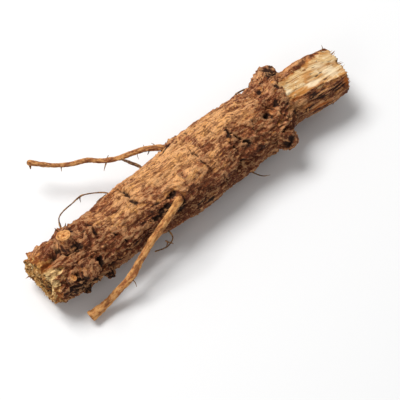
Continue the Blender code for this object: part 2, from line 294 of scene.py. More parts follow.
# %% Large forms
SWELLS = (
    # x, angle, height, reach along, reach around
    (-49, 0, 1.8, 5.0, 4.5),
    (-53, 48, 1.3, 5.5, 5.0),
    (-51, 118, -0.5, 7.0, 4.0),
    (-60, -67, -1.0, 3.0, 4.0),
    (-62, -35, 0.6, 4.0, 6.0),
    (-64, 5, -2.4, 4.0, 1.9),
    (-59, 170, 0.5, 5.0, 5.0),
    (-28, -25, -0.9, 1.6, 9.0),
    (-13.5, 38, 0.8, 2.6, 2.6),
    (-20, 62, -1.0, 5.0, 2.6),
    (-3, -55, 1.1, 5.0, 5.5),
    (17, 30, -1.6, 2.0, 5.0),
    (17, 57, 1.3, 3.2, 3.0),
    (13, 74, -1.5, 2.2, 2.2),
    (24, 5, 0.7, 6.0, 6.0),
    (30, 22, -1.4, 2.0, 2.0),
    (34, 45, 0.8, 4.5, 6.0),
    (32, 88, 1.0, 4.0, 4.5),
    (27.5, 108, -1.3, 4.0, 5.0),
    (43, 85, -1.1, 3.0, 7.0),
    (38.5, -67, 0.8, 2.0, 4.0),
    (42, -62, 3.0, 4.4, 4.6),
    (46, -50, -0.8, 2.0, 2.0),
    (40, -15, 1.2, 3.5, 8.0),
    (-8, 150, 0.8, 6.0, 5.0),
    (5, -120, 0.9, 5.0, 5.0),
    (-34, -125, 0.7, 6.0, 5.0),
)
# x and reach of the two lumpy lengths
LUMPY_PLACES = ((-54, 9), (36, 11))
WAVE_HEIGHT, WRINKLE_HEIGHT, LUMP_HEIGHT = 0.7, 0.6, 1.4


def large_form(x, angle, radius):
    """Height of the large forms over the plain root."""
    waves = WAVE_HEIGHT * ring_noise(x, angle, 8, radius / 8, 3.7)
    wrinkles = WRINKLE_HEIGHT * ring_noise(x, angle, 24, 3.6, 11.2)
    lumpy = sum(np.exp(-(((x - middle) / reach) ** 2)) for middle, reach in LUMPY_PLACES)
    lumps = LUMP_HEIGHT * ring_noise(x, angle, 4.5, radius / 4.5, 23.5)
    return marks(x, angle, radius, SWELLS) + waves + wrinkles + lumpy * lumps


print("large forms", len(SWELLS), "the highest", max(row[2] for row in SWELLS), "mm")

# %% [markdown]
# ## The skin of the bark
# Long ridges and fine strands run along it. Over them lies what is left of a thin outer layer, in patches
# with sharp edges. And where it is old or damaged it is lumpy and crumbly. How much of each there is
# changes over the root: the upper side of its middle is smooth and golden, while the two ends of the bark
# and the front are rough and brown; the front and underside also get red-brown painted shade. Each of
# these is noise with its own length and its own place. The same numbers are kept as marks for the
# colours, so a patch of the outer layer is also brown, a hollow gets painted shade and a raised place a
# painted highlight. The tables say where each kind is.

# %% Where the bark is rough, weathered or fresh
# the rows of all these tables are x, angle, strength, reach along and reach around
ROUGH_PLACES = (
    (-61, 45, 0.45, 12, 24),
    (-56, -60, 0.15, 10, 16),
    (-54, 160, 0.6, 16, 24),
    (-48, 0, 0.3, 7, 8),
    (-30, 88, 0.28, 16, 10),
    (-8, 95, 0.45, 14, 11),
    (-4, -58, 0.6, 6, 6),
    (16, 45, 0.55, 9, 14),
    (34, 60, 0.55, 10, 20),
    (56, 80, 0.4, 9, 8),
    (36, -10, 0.4, 7, 12),
    (40, -65, 0.7, 7, 9),
    (34, 150, 0.7, 12, 20),
    (10, -130, 0.5, 20, 14),
    (-30, -140, 0.4, 20, 14),
)
WEATHERED_PLACES = (
    # where the brown outer layer is still on
    (-58, 25, 0.9, 12, 17),
    (-49, -12, 0.8, 6, 8),
    (-46, 50, 0.5, 8, 9),
    (-33, 42, 0.45, 8, 4),
    (-9, 14, 0.7, 1.6, 1.5),
    (-55, 140, 0.7, 16, 20),
    (-25, 62, 0.7, 14, 8),
    (-27, 90, 0.5, 17, 9),
    (-36, -8, 0.3, 6, 8),
    (2, 60, 0.6, 9, 7),
    (-2, 80, 0.5, 12, 8),
    (-2.5, -46, 1.3, 4.5, 2.6),
    (1.5, -26, 0.7, 2.4, 4.0),
    (20, 45, 0.9, 9, 8),
    (14, 20, 0.6, 5, 6),
    (10, 36, 0.9, 6, 7),
    (28.7, -27, 0.9, 2.6, 2.0),
    (22.3, -38, 0.8, 2.0, 1.8),
    (26.0, -38, 0.6, 2.4, 1.8),
    (27, 85, 0.7, 10, 10),
    (27, 8, 0.4, 7, 7),
    (39, -62, 0.9, 6, 6),
    (38, 40, 0.45, 6, 14),
    (56, 75, 0.7, 10, 6),
    (20, 150, 0.5, 24, 18),
    (-24, 160, 0.5, 20, 18),
    (8, -120, 0.6, 18, 12),
    (-34, -120, 0.5, 18, 10),
)
FRESH_PLACES = (
    # where the outer layer is gone and the skin under it is smooth and golden
    (-22, -20, 0.8, 12, 9),
    (-9, -14, 1.1, 8, 10),
    (6, -26, 1.0, 12, 9),
    (22, -28, 0.7, 9, 8),
    (-38, -22, 0.7, 8, 6),
    (-34, 14, 0.4, 9, 6),
    (6, 28, 0.3, 6, 6),
    (56, -62, 0.8, 9, 4),
    (44, 62, 0.8, 4, 4),
    (29.8, -10, 0.7, 2.4, 2.0),
    (36.4, -11, 0.5, 2.0, 2.0),
)
LONG_GRAIN_PLACES = (
    # beside the split the grain runs long and straight
    (56, -80, 1.4, 10, 9),
    (57, 80, 1.3, 10, 10),
    (55, 140, 0.8, 12, 12),
)
print("rough places", len(ROUGH_PLACES), "weathered", len(WEATHERED_PLACES), "fresh", len(FRESH_PLACES))

# %% Painted shade and shadow, damp and dark spots
SHADE_AND_DAMP_PLACES = (
    # red-brown painted shade where the front and the lower end lie in shade, and some old damp
    (-60, 80, 0.9, 6, 5),
    (-50, 40, 0.3, 8, 12),
    (-16, 62, 0.6, 9, 5),
    (46, 45, 0.5, 5, 4),
    (-30, -6, 0.45, 7, 9),
    (10, 38, 0.45, 6, 7),
    (-21, 54, 0.7, 5, 2.5),
    (-34, 46, 0.35, 8, 4),
)
DARK_PLACES = (
    # painted shadow, nearly black, under and beside the stubs, knobs and rootlets, in grooves and at the
    # lower end's front, and a few real dark spots such as the old scar
    (-57.9, -8, 1.3, 1.6, 1.2),
    (-55.4, 7, 1.6, 2.4, 1.2),
    (-52.9, 14, 1.0, 1.6, 1.0),
    (-51.6, -26, 0.9, 0.7, 2.0),
    (-50.2, -7, 1.1, 0.8, 1.8),
    (-49.3, 51, 1.2, 0.9, 2.2),
    (-51.1, 68, 1.3, 1.1, 1.8),
    (-57.0, 64, 1.4, 1.6, 0.9),
    (-55.6, 71, 1.4, 1.5, 1.2),
    (-60.2, 70, 0.9, 2.6, 1.0),
    (-61.6, 80, 1.0, 3.0, 1.8),
    (-57.5, 86, 1.1, 3.6, 2.0),
    (-53.0, 90, 0.9, 3.0, 1.8),
    (-64.6, 86, 0.7, 2.2, 2.2),
    (-46.5, 6, 0.4, 1.0, 2.0),
    (-28.2, -14, 0.25, 1.2, 5.0),
    (-19.9, 48, 0.8, 2.0, 1.2),
    (-24.1, 54, 0.6, 3.0, 1.3),
    (-9.0, 14, 0.7, 1.1, 1.0),
    (-29.5, 52, 0.5, 3.0, 1.2),
    (-14.4, 51, 1.2, 0.9, 1.6),
    (-15.1, 63, 0.8, 1.8, 2.2),
    (-6.3, -44, 1.3, 1.7, 1.1),
    (-3.7, -45, 1.1, 1.2, 1.0),
    (14.0, 12, 0.7, 1.4, 2.6),
    (17.5, 40, 0.8, 2.0, 2.0),
    (13.0, 67, 0.9, 1.6, 1.4),
    (34.5, -27, 0.9, 0.8, 1.2),
    (37.7, -43, 0.9, 0.8, 1.8),
    (36.0, 17, 0.9, 1.2, 1.6),
    (38.8, 31, 0.9, 1.0, 1.6),
    (39.9, -4, 0.8, 1.0, 1.6),
    (42.0, 70, 0.8, 1.0, 2.4),
    (38.0, 108, 0.5, 3.0, 3.0),
    (41.6, -40, 1.2, 1.4, 2.0),
    (41.4, -26, 0.8, 1.1, 1.4),
    (46.0, -50, 1.5, 1.6, 1.6),
    (44.2, -42, 1.2, 1.2, 1.2),
    (50.4, 50, 0.9, 3.0, 1.4),
    (56.6, 59, 1.4, 4.4, 1.3),
    (62.6, 66, 1.2, 2.6, 1.0),
    (47.6, 77, 1.0, 3.2, 0.9),
    (53.0, 92, 1.0, 4.0, 1.0),
    (-7.5, 78, 0.9, 3.0, 1.6),
    (-3.0, 90, 0.8, 3.0, 1.6),
    (-36.0, 72, 0.8, 4.0, 1.5),
    (-42.0, 84, 0.8, 4.0, 1.6),
    (-29.0, 78, 0.7, 3.0, 1.4),
    (24.0, 62, 0.7, 2.6, 1.8),
    (28.9, -27, 0.6, 1.0, 1.0),
    (-25.2, 39, 0.4, 2.0, 1.5),
)
print("places that are damp", len(SHADE_AND_DAMP_PLACES), "dark", len(DARK_PLACES))

# %% Cracks and pits
CRACKS = (
    # corners as x and angle, half width, depth, height of the torn lips
    (((-1.3, -9), (-0.4, 12), (-0.1, 24), (1.2, 38)), 0.24, 0.8, 0.12),
    (((8.6, -36), (9.2, -18), (10.0, 0)), 0.20, 0.6, 0.10),
    (((-28.4, -54), (-28.1, -18), (-28.6, -2), (-28.0, 12)), 0.65, 0.7, 0.50),
    (((13.6, 2), (15.3, 20), (17.0, 30), (18.1, 39), (20.0, 52)), 0.36, 1.3, 0.30),
    (((12.4, 26), (13.2, 34), (14.0, 46)), 0.30, 1.0, 0.20),
    (((15.4, 32), (17.8, 38)), 0.26, 0.8, 0.15),
    (((-17.8, -10), (-15.1, -7), (-13.2, -4)), 0.20, 0.6, 0.10),
    (((-36.0, -4), (-30.6, 0)), 0.18, 0.5, 0.10),
    (((-24.6, 30), (-18.0, 34)), 0.18, 0.5, 0.10),
    (((-50.3, 44), (-50.4, 62), (-52.2, 76)), 0.75, 1.9, 0.15),
    (((-58.6, 56), (-56.6, 68), (-54.0, 72)), 0.75, 1.9, 0.15),
    (((-60.0, -10), (-58.0, 2), (-54.6, 8)), 0.95, 1.8, 0.0),
    (((-46.0, -24), (-45.2, -4), (-45.8, 16)), 0.45, 0.9, 0.2),
    (((32.7, 14), (34.6, 32), (36.8, 48), (37.8, 63), (37.3, 84)), 0.26, 0.8, 0.20),
    (((23.0, -6), (24.0, 14), (22.5, 32)), 0.24, 0.6, 0.15),
    (((-41.0, 24), (-38.4, 40), (-38.0, 58)), 0.26, 0.6, 0.20),
    (((-46.0, 80), (-44.0, 120)), 0.36, 0.9, 0.20),
    (((4.0, 60), (5.4, 78), (4.0, 96)), 0.26, 0.7, 0.20),
    (((-9.0, 84), (-7.6, 118)), 0.26, 0.7, 0.20),
    (((-20.0, -95), (-19.0, -150)), 0.28, 0.8, 0.25),
    (((12.0, -75), (13.0, -112)), 0.30, 0.8, 0.25),
    (((26.0, -90), (25.0, -160)), 0.28, 0.8, 0.20),
    (((-44.0, -100), (-46.0, -170)), 0.36, 0.9, 0.30),
    (((-3.0, -140), (-1.0, -195)), 0.30, 0.8, 0.20),
)
PITS = (
    # x, angle, depth below the skin, reach along, reach around
    (2.6, 74, 1.2, 1.0, 0.8),
    (29.8, 22, 1.8, 1.5, 1.0),
    (31.0, 27, 1.2, 0.8, 0.9),
    (13.2, 66, 1.9, 1.3, 1.1),
    (35.2, 78, 1.2, 0.8, 0.8),
    (28.4, 74, 1.0, 1.1, 0.7),
    (-16.4, 32, 2.0, 1.6, 0.9),
    (-13.6, 54, 1.6, 0.8, 1.0),
    (-20.5, 44, 1.3, 2.4, 0.9),
    (-24.4, 55, 1.2, 2.6, 0.9),
    (-20.3, -29, 0.5, 0.9, 0.5),
    (-18.6, -35, 0.4, 0.6, 0.4),
    (-56.7, 67, 1.9, 1.6, 1.0),
    (-50.4, 62, 1.5, 0.7, 2.2),
    (-53.6, 4, 1.6, 1.0, 1.6),
    (-48.6, -6, 0.8, 0.5, 2.0),
    (46.2, -54, 2.4, 0.9, 0.9),
    (44.2, -42, 2.2, 1.1, 1.0),
    (-46.4, 84, 1.0, 1.0, 1.0),
    (-5.6, -47, 1.3, 0.9, 0.8),
    (-3.4, -43, 1.2, 0.8, 0.5),
    (-1.6, -46, 1.0, 0.8, 0.8),
    (0.6, -30, 0.9, 0.9, 0.4),
    (1.6, -16, 0.7, 0.8, 0.4),
    (3.2, -45, 0.9, 0.7, 1.2),
    (21.5, 66, 1.2, 1.4, 0.8),
    (24.0, 98, 1.0, 1.2, 1.0),
    (8.0, -100, 0.9, 1.3, 0.8),
    (-12.0, -130, 0.8, 1.3, 0.8),
    (-36.0, 140, 0.9, 1.4, 0.8),
)
print("cracks", len(CRACKS), "pits", len(PITS), "the deepest", max(row[2] for row in CRACKS + PITS), "mm")

# %% [markdown]
# ## The relief of the skin
# Each kind of relief is one row of noise, from ridges that are centimetres long to crumbs. All of them
# are read at places that a broader noise has pushed about, so no line of them is ruled. A crack is a soft
# groove along a line with a few corners. Added up, the reliefs give a height in millimetres, and each of
# them also feeds a mark.

# %% How old the bark is at a place
FOLDS = (
    # x, angle, strength, reach along, reach around
    (-48.6, -3, 1.2, 3.6, 5.5),
    (-46, 95, 0.5, 5.0, 5.0),
    (-50, -60, 0.5, 4.0, 4.0),
    (38, 120, 0.6, 5.0, 6.0),
)


def bark_ages(x, angle, radius):
    """How folded, straight, rough, weathered and fresh the bark is, between 0 and 1, and how patchy."""
    patchy = ring_noise(x, angle, 9, radius / 6, 71.0, 3)
    folds = share_marked(x, angle, radius, FOLDS)
    straight = share_marked(x, angle, radius, LONG_GRAIN_PLACES)
    rough = np.clip(marks(x, angle, radius, ROUGH_PLACES) + 0.10 + 0.5 * patchy, 0, 1)
    rough = rough * (1 - 0.8 * folds) * (1 - 0.75 * straight)
    weathered = np.clip(marks(x, angle, radius, WEATHERED_PLACES) + 0.10 + 0.7 * patchy, 0, 1)
    fresh = np.clip(marks(x, angle, radius, FRESH_PLACES) - 0.5 * patchy, 0, 1)
    return folds, straight, rough, weathered, fresh, patchy


print("how rough the collar is, from 0 to 1:", round(float(bark_ages(40.0, -65.0, 12.0)[2]), 2))

# %% Cracks and the old scar
# distance and width of a crack's torn lips, in half widths of the crack
LIP_AWAY, LIP_WIDTH = 2.4, 1.6
SCAR_X, SCAR_ANGLE, SCAR_RADIUS = -9.0, 14.0, 1.35
SCAR_ALONG, SCAR_AROUND = 1.25, 0.75
SCAR_RING_WIDTH, SCAR_HOLLOW_REACH = 0.45, 0.7


def crack_relief(x, angle, radius, broken):
    """How deep the cracks are, how near to one each place is, and how high their torn lips stand."""
    cracks, lines, lips = np.zeros((3, *broken.shape))
    for corners, half_width, depth, lip in CRACKS:
        off = distance_to_line(x, angle, radius, corners)
        wide = half_width * np.clip(broken, 0.6, 1.5)
        line = np.clip(broken, 0.5, 1.1) * np.exp(-((off / wide) ** 2))
        beside = (off - LIP_AWAY * half_width) / (LIP_WIDTH * half_width)
        lines = np.maximum(lines, line)
        cracks = np.maximum(cracks, depth * line)
        lips = np.maximum(lips, lip * np.exp(-(beside**2)))
    return cracks, lines, lips


def old_scar(x, angle, radius):
    """The ring of a small healed wound, and the hollow inside it."""
    arc = np.radians(turned(angle, SCAR_ANGLE)) * radius
    away = np.hypot((x - SCAR_X) * SCAR_ALONG, arc * SCAR_AROUND)
    ring = np.exp(-(((away - SCAR_RADIUS) / SCAR_RING_WIDTH) ** 2))
    return ring, np.exp(-((away / SCAR_HOLLOW_REACH) ** 2))


print("the scar is", round(2 * SCAR_RADIUS / SCAR_ALONG, 1), "mm long")

# %% The heights and the marks of the skin
SKIN_NOISE = (
    # how far the wobble bends it, length along, width, seed, octaves
    (0.9, 11, 2.8, 97.0, 2),  # ridges
    (1.2, 2.4, 0.95, 101.0, 3),  # strands
    (0.5, 9.0, 0.85, 103.0, 3),  # long strands beside the split
    (0.8, 1.25, 0.72, 91.0, 2),  # chips
    (1.6, 4.5, 3.0, 83.0, 2),  # cover, where the outer layer is left
    (2.0, 6.0, 4.2, 113.0, 2),  # lumps
    (0.0, 1.9, 1.5, 107.0, 3),  # crumbs
)
RIDGE_HEIGHT, STRAND_HEIGHT, PLATE_HEIGHT, SCALE_HEIGHT, CRUMB_HEIGHT = 0.40, 0.28, 0.20, 0.16, 0.16
FOLD_HEIGHT, FOLD_LENGTH, FOLD_LEAN = 0.75, 2.6, 0.08
LAYER_STEP, RISER = 0.36, 0.35
SKIN_SINK = 0.25
# x, angle, height, reach along, reach around
GNARL = ((44.4, -58, 1.7, 1.7, 3.0), (40.0, -60, -0.5, 2.6, 3.0), (49.0, -58, -0.4, 1.6, 5.0))
# the side that faces the lamp, as an angle; painted shade covers the side away from it, the front and
# underside
LIT_SIDE = -30


def layered(value):
    """A height cut into flat steps with steep risers, as old bark lies in layers."""
    level = np.floor(value / LAYER_STEP)
    return LAYER_STEP * (level + soft_step(1 - RISER, 1.0, value / LAYER_STEP - level))


def skin(x, angle, radius):
    """Height of the skin over the large forms, and marks between 0 and 1 for the colours."""
    folds, straight, rough, weathered, fresh, patchy = bark_ages(x, angle, radius)
    wobble = ring_noise(x, angle, 2.4, radius / 2.4, 5.1, 3)
    shiver = ring_noise(x, angle, 0.9, radius / 0.9, 7.7, 2)
    bent = parted(x, angle, radius)
    ridges, strands, long_strands, chips, cover, lumps, crumbs = (
        ring_noise(x + bend * wobble, bent, length, radius / width, seed, octaves)
        for bend, length, width, seed, octaves in SKIN_NOISE
    )
    strands = strands + (1.3 * long_strands - strands) * straight
    chips = chips * (1 - 0.7 * straight)
    crumbs = np.abs(crumbs)
    plates = soft_step(0.0, 0.14, 0.6 * cover + 0.8 * chips + 0.40 * (weathered - fresh) - 0.08)
    scales = soft_step(0.03, 0.14, chips)

    broad = RIDGE_HEIGHT * ridges * (1 - 0.4 * rough)
    broad = broad + (layered(1.7 * lumps + 0.5 * strands) - 0.4) * rough - SKIN_SINK
    fine = STRAND_HEIGHT * strands + PLATE_HEIGHT * plates + SCALE_HEIGHT * scales
    fine = fine * (0.6 + 0.6 * rough) + CRUMB_HEIGHT * crumbs * rough
    fine *= 1 - 0.4 * fresh
    wave = np.sin(2 * math.pi * (x + FOLD_LEAN * turned(angle, 0) + 1.2 * wobble) / FOLD_LENGTH)
    height = broad + fine + FOLD_HEIGHT * folds * wave + marks(x, angle, radius, GNARL)

    bent_x = x + 0.5 * wobble + 0.25 * shiver
    bent_angle = angle + 3.0 * ring_noise(x, angle, 3.0, radius / 3.0, 8.3, 2)
    broken = 0.95 + 0.6 * ring_noise(x, angle, 2.2, radius / 2.2, 123.0, 2)
    cracks, lines, lips = crack_relief(bent_x, bent_angle, radius, broken)
    pits = marks(bent_x, bent_angle, radius, PITS) * (1 + 1.2 * shiver)
    ring, healed = old_scar(bent_x, bent_angle, radius)
    hollow = cracks + pits + 0.5 * healed
    height += lips + 0.55 * ring - hollow

    # the marks below paint light and shade by the relief: painted shade in low places, fold troughs, plate
    # edges, cracks and pits, and a painted highlight on raised places and lips
    edges = 4 * plates * (1 - plates)
    low = 0.5 - 1.5 * strands - 0.7 * ridges - 0.6 * lumps * rough - 0.6 * folds * wave
    low = low - 0.9 * lips
    worn = plates * (0.25 + 0.9 * weathered) + 0.30 * weathered + ring + 0.6 * folds
    # painted shade: red-brown over the front and underside, away from the lamp, and at the listed places,
    # some of them old damp
    shade_and_damp = soft_step(0.45, -0.45, np.cos(np.radians(turned(angle, LIT_SIDE)))) * (0.9 + 0.8 * patchy)
    shade_and_damp = shade_and_damp + marks(x, angle, radius, SHADE_AND_DAMP_PLACES)
    # painted shadow at the listed dark places, with a few real dark spots, broken up by the strands and chips
    shadows_and_spots = marks(x, angle, radius, DARK_PLACES) * (0.7 - 2.2 * strands - 1.2 * chips)
    return height, {
        "worn": np.clip(worn, 0, 1),
        "shade_and_damp": np.clip(shade_and_damp, 0, 1),
        "fresh": fresh,
        "low": np.clip(low + 0.35 * edges, 0, 1),
        # painted shade in cracks, pits and at plate edges, with the painted shadows and dark spots
        "dark": np.clip(np.maximum(0.78 * lines, pits / 1.1) + 0.30 * edges * rough + shadows_and_spots, 0, 1),
    }


along_top = skin(np.linspace(-20, 10, 61), np.zeros(61), np.full(61, 12.5))[0]
print("relief along the top", round(float(along_top.min()), 2), "to", round(float(along_top.max()), 2), "mm")

# %% [markdown]
# ## The broken rim at the lower end
# At the lower end the bark has broken back from the wood, further on its upper side than below, and one
# deep trough runs in from the rim. The wood that it leaves uncovered is pale.

# %% Bark broken back from the wood
RIM_LOSSES = (
    # angle, how far the bark has gone back in mm, reach in degrees
    (-8, 3.6, 9),
    (27, 4.6, 16),
    (52, 1.6, 10),
    (-42, 0.7, 12),
    (110, 1.0, 16),
    (-110, 1.4, 18),
    (170, 1.0, 20),
)
# corners as x and angle, half width, depth
TROUGH = (((-70.0, 8), (-67.2, 3), (-64.4, -3), (-61.8, -6)), 1.25, 2.3)
# the trough gets painted shade from here inward, deepest at its inner end
TROUGH_DARK_FROM, TROUGH_DARK_TO = -65.4, -62.2
# x, angle, strength, reach along, reach around
PALE_WOOD = ((-66, 33, 1.5, 3.6, 3.4),)
ORANGE_RIM = (
    (-68.6, -40, 1.4, 2.2, 4.4),
    (-65.5, 31, 0.35, 3.0, 3.0),
    (-64.8, 0, 0.6, 3.2, 2.4),
    (-67.8, 85, 1.0, 2.0, 5.0),
    (-61.7, 51, 0.8, 2.2, 1.3),
)
CORE_DEPTH = 1.7


def broken_rim(x, angle, radius, height):
    """The height after the bark has broken back, with how bare, pale and orange each place is, and the
    painted shade deep in the trough.
    """
    gone = sum(loss * np.exp(-((turned(angle, facing) / reach) ** 2)) for facing, loss, reach in RIM_LOSSES)
    gone = gone * (1 + 0.9 * ring_noise(x, angle, 4, 5.0, 151.0, 2))
    wobble = ring_noise(x, angle, 1.6, radius / 1.3, 157.0, 3)
    strands = ring_noise(x, angle, 4, radius / 0.9, 161.0, 3)
    corners, half_width, depth = TROUGH
    off = distance_to_line(x + 0.5 * wobble, angle + 3 * wobble, radius, corners)
    trough = depth * np.exp(-((off / half_width) ** 2))
    bare = soft_step(-0.15, 0.25, gone - ROOT_LENGTH / 2 - x - 0.2 + 0.9 * wobble)
    core = 0.3 * height - CORE_DEPTH + 0.7 * strands + 0.6 * wobble
    pale = share_marked(x, angle, radius, PALE_WOOD)
    stain = np.clip(marks(x, angle, radius, ORANGE_RIM) * (0.8 + 1.6 * wobble + 0.8 * strands), 0, 1)
    dark = soft_step(TROUGH_DARK_FROM, TROUGH_DARK_TO, x) * trough / depth
    return height + (core - height) * bare - trough * (1 + 0.4 * wobble), bare, pale, stain, dark


print("the bark has gone back by up to", max(row[1] for row in RIM_LOSSES), "mm")

# %% [markdown]
# ## The split upper end
# At the upper end a slanting split has taken the bark and some wood, and left a long pale flat with a rim
# of bark round it. In numbers it is a plane that leans into the root: whatever would stand over the plane
# is cut down to it, and the wood lies a little lower than the bark's cut edge. The wood tears along its
# fibres, so its relief is noise that is much longer than it is wide.

# %% Cutting the bark down to the wood
SPLIT_START, SPLIT_START_HALF_ANGLE = 41.0, 20.0
SPLIT_END, SPLIT_END_HALF_ANGLE = 67.0, 57.0
SPLIT_FACING, SPLIT_FACING_AT_END = 8.0, -7.0
WOOD_DEPTH = 0.8
SEAM_WIDTH, SEAM_DEPTH = 0.30, 0.3
# x on top, how far it leans in mm for a degree, half width
OCHRE_BAND_X, OCHRE_BAND_LEAN, OCHRE_BAND_WIDTH = 52.9, 0.0945, 1.7
# the rows of the three tables are x, angle, strength, reach along and reach around
WOOD_SPECKS = (
    (58.4, -22, 1.3, 0.9, 0.35),
    (64.2, -7, 1.3, 1.3, 0.35),
    (65.4, 0, 1.1, 0.8, 0.30),
    (58.8, 9, 1.3, 0.8, 0.40),
    (56.7, 12, 1.1, 0.9, 0.40),
    (58.2, 33, 1.2, 1.0, 0.40),
    (47.6, 9, 0.8, 0.6, 0.30),
    (45.6, -8, 0.8, 1.2, 0.25),
)
WHITE_WOOD = (
    (53.6, 27, 1.2, 3.2, 1.6),
    (62.4, 20, 0.9, 3.4, 3.4),
    (43.2, 14, 0.9, 2.0, 1.4),
    (60.0, -20, 0.6, 4.0, 3.0),
)
ORANGE_BARK = (
    (65.6, 66, 1.2, 2.0, 2.2),
    (44.5, 33, 0.9, 4.0, 1.6),
    (54.0, -74, 0.6, 9.0, 3.0),
    (52.0, 86, 0.8, 6.0, 1.6),
    (47.0, 66, 0.6, 3.0, 1.4),
    (25.9, 24, 0.45, 1.6, 1.3),
    (36.4, -11, 0.4, 1.4, 1.1),
)


def split(x, angle, height, plain_radius):
    """The radius after the split, and how bare each place is, how stained, and how much painted shade lies in
    the seam's groove.
    """
    full = plain_radius + height
    reach = (x - SPLIT_START) / (SPLIT_END - SPLIT_START)
    middle = SPLIT_FACING + np.clip(reach, 0, 1) * (SPLIT_FACING_AT_END - SPLIT_FACING)
    off_middle = np.abs(turned(angle, middle))
    half_angle = SPLIT_START_HALF_ANGLE + reach * (SPLIT_END_HALF_ANGLE - SPLIT_START_HALF_ANGLE)
    flat = plain_radius * np.cos(np.radians(half_angle)) / np.maximum(np.cos(np.radians(off_middle)), 0.2)
    jag = ring_noise(x, angle, 5.0, plain_radius / 1.5, 131.0, 3)
    inside = np.minimum(np.radians(half_angle - off_middle) * plain_radius, 1.3 * (x - SPLIT_START))
    inside = inside + 1.5 * jag
    bare = soft_step(-0.1, 0.6, inside) * (reach > -0.1)
    strands = ring_noise(x, angle, 16, plain_radius / 1.5, 137.0, 3)
    splinters = soft_step(0.0, 0.10, ring_noise(x, angle, 9, plain_radius / 1.3, 141.0, 2))
    lobes = ring_noise(x, angle, 9, plain_radius / 6, 145.0, 2)
    wood = np.minimum(flat, plain_radius - 0.2) - WOOD_DEPTH + 0.30 * strands + 0.18 * splinters + 0.8 * lobes
    depth = np.minimum(wood, full) - full
    # painted shade in the groove along the seam, where the bark's cut edge meets the wood
    seam = np.exp(-(((inside - 0.1) / SEAM_WIDTH) ** 2)) * (turned(angle, middle) < -6) * (reach > 0)
    band_x = OCHRE_BAND_X - OCHRE_BAND_LEAN * turned(angle, 0)
    band = 0.85 * np.exp(-(((x - band_x + 3 * jag) / OCHRE_BAND_WIDTH) ** 2)) * (0.8 + 1.5 * strands)
    stain = np.clip(soft_step(1.6, 0.1, inside + 1.2 * strands) + band, 0, 1) * bare
    return full + depth * bare - SEAM_DEPTH * seam, bare, stain, np.clip(seam * (1.0 + 1.6 * strands), 0, 1)


print("the split runs from x =", SPLIT_START, "to the end, and opens to", 2 * SPLIT_END_HALF_ANGLE, "degrees")

# %% The whole surface of the bark
def bark_surface(x, angle):
    """Points of the root's surface in mm, with the marks that its materials read."""
    radius, y, z = root_line(x)
    height, marks_at = skin(x, angle, radius)
    height, torn, pale, stain, dark = broken_rim(x, angle, radius, large_form(x, angle, radius) + height)
    full, bare, wood_stain, seam = split(x, angle, height, radius)
    turn = np.radians(angle)
    points = np.stack([x, y - full * np.sin(turn), np.maximum(z + full * np.cos(turn), 0)], axis=-1)
    white = share_marked(x, angle, radius, WHITE_WOOD) * bare
    orange = share_marked(x, angle, radius, ORANGE_BARK) * (1 - bare)
    specks = share_marked(x, angle, radius, WOOD_SPECKS)
    stain = np.maximum(np.maximum(stain, wood_stain), orange)
    marks_at.update(bare=bare, torn=torn, pale=np.maximum(pale, white), stain=stain, seam=seam)
    marks_at["dark"] = np.maximum(marks_at["dark"], 0.8 * dark) * (1 - bare) + specks * bare
    return points, marks_at


top_point = bark_surface(np.array([[0.0]]), np.array([[0.0]]))[0][0, 0]
print("the top of the bark at the middle lies at z =", round(float(top_point[2]), 2), "mm")

# %% [markdown]
# ## The broken ends
# Both ends are broken, not sawn. The rim is ragged, and the face is a field of torn fibres, some longer
# than others. The faces are rings of places that shrink towards the middle, pushed in and out by noise.
# Together with the bark they make one closed skin.

# %% The ragged rims
# how far it lies past the plain length, how far its edge slants, the angle of the corner that stands out
LOWER_SLANT, UPPER_SLANT = (1.6, 1.1, -110.0), (0.7, 1.4, -75.0)
# depth of the ragged edge in mm, and its seed
LOWER_RAGGED, UPPER_RAGGED = (0.8, 51.0), (1.3, 57.0)
LOWER_CORNER_ANGLE, LOWER_CORNER_REACH, LOWER_CORNER = 105.0, 30.0, 1.6
# the share of its radius that the very edge has lost
EDGE_LOSS = 0.03


def slanted_end(side, angle, share):
    """x of an end's slanting plane at an angle and a share of the way out to the edge."""
    beyond, farther, facing = LOWER_SLANT if side < 0 else UPPER_SLANT
    lean = farther * share * np.cos(np.radians(turned(angle, facing)))
    return side * (ROOT_LENGTH / 2 + beyond + lean)


def ragged_end(side, angle):
    """x of the broken edge at an angle: side is -1 at the lower end and 1 at the upper end."""
    depth, seed = LOWER_RAGGED if side < 0 else UPPER_RAGGED
    coarse = ring_noise(0, angle, 1, 1.6, seed)
    fine = ring_noise(0, angle, 1, 5.0, seed + 9)
    torn = ring_noise(0, angle, 1, 14.0, seed + 17, 2)
    corner = LOWER_CORNER * np.exp(-((turned(angle, LOWER_CORNER_ANGLE) / LOWER_CORNER_REACH) ** 2))
    longer = corner if side < 0 else 0
    return slanted_end(side, angle, 1) + side * (longer + depth * (coarse + 0.6 * fine + 0.55 * torn))


edge_x = [float(ragged_end(side, 0.0)) for side in (-1, 1)]
print("along its top the root runs from x =", round(edge_x[0], 1), "to", round(edge_x[1], 1), "mm")

# %% The torn faces
FACE_HOLLOWS = (
    # angle, share of the way out, depth in mm, reach in mm
    (-28, 0.76, 2.0, 1.6),
    (70, 0.45, 0.9, 2.2),
    (150, 0.60, 0.8, 2.0),
)
# angle, share of the way out, strength, reach in mm
FACE_PALE = ((24, 0.86, 1.2, 2.8), (60, 0.80, 0.7, 2.0), (-80, 0.5, 0.6, 2.0))


def on_face(places, rows, y, z, reach_out):
    """Sum of soft round marks on a broken face."""
    total = np.zeros(places.shape[:-1])
    for facing, out, height, reach in rows:
        off_y = places[..., 1] - y + out * reach_out * math.sin(math.radians(facing))
        off_z = places[..., 2] - z - out * reach_out * math.cos(math.radians(facing))
        total += height * np.exp(-(off_y**2 + off_z**2) / reach**2)
    return total


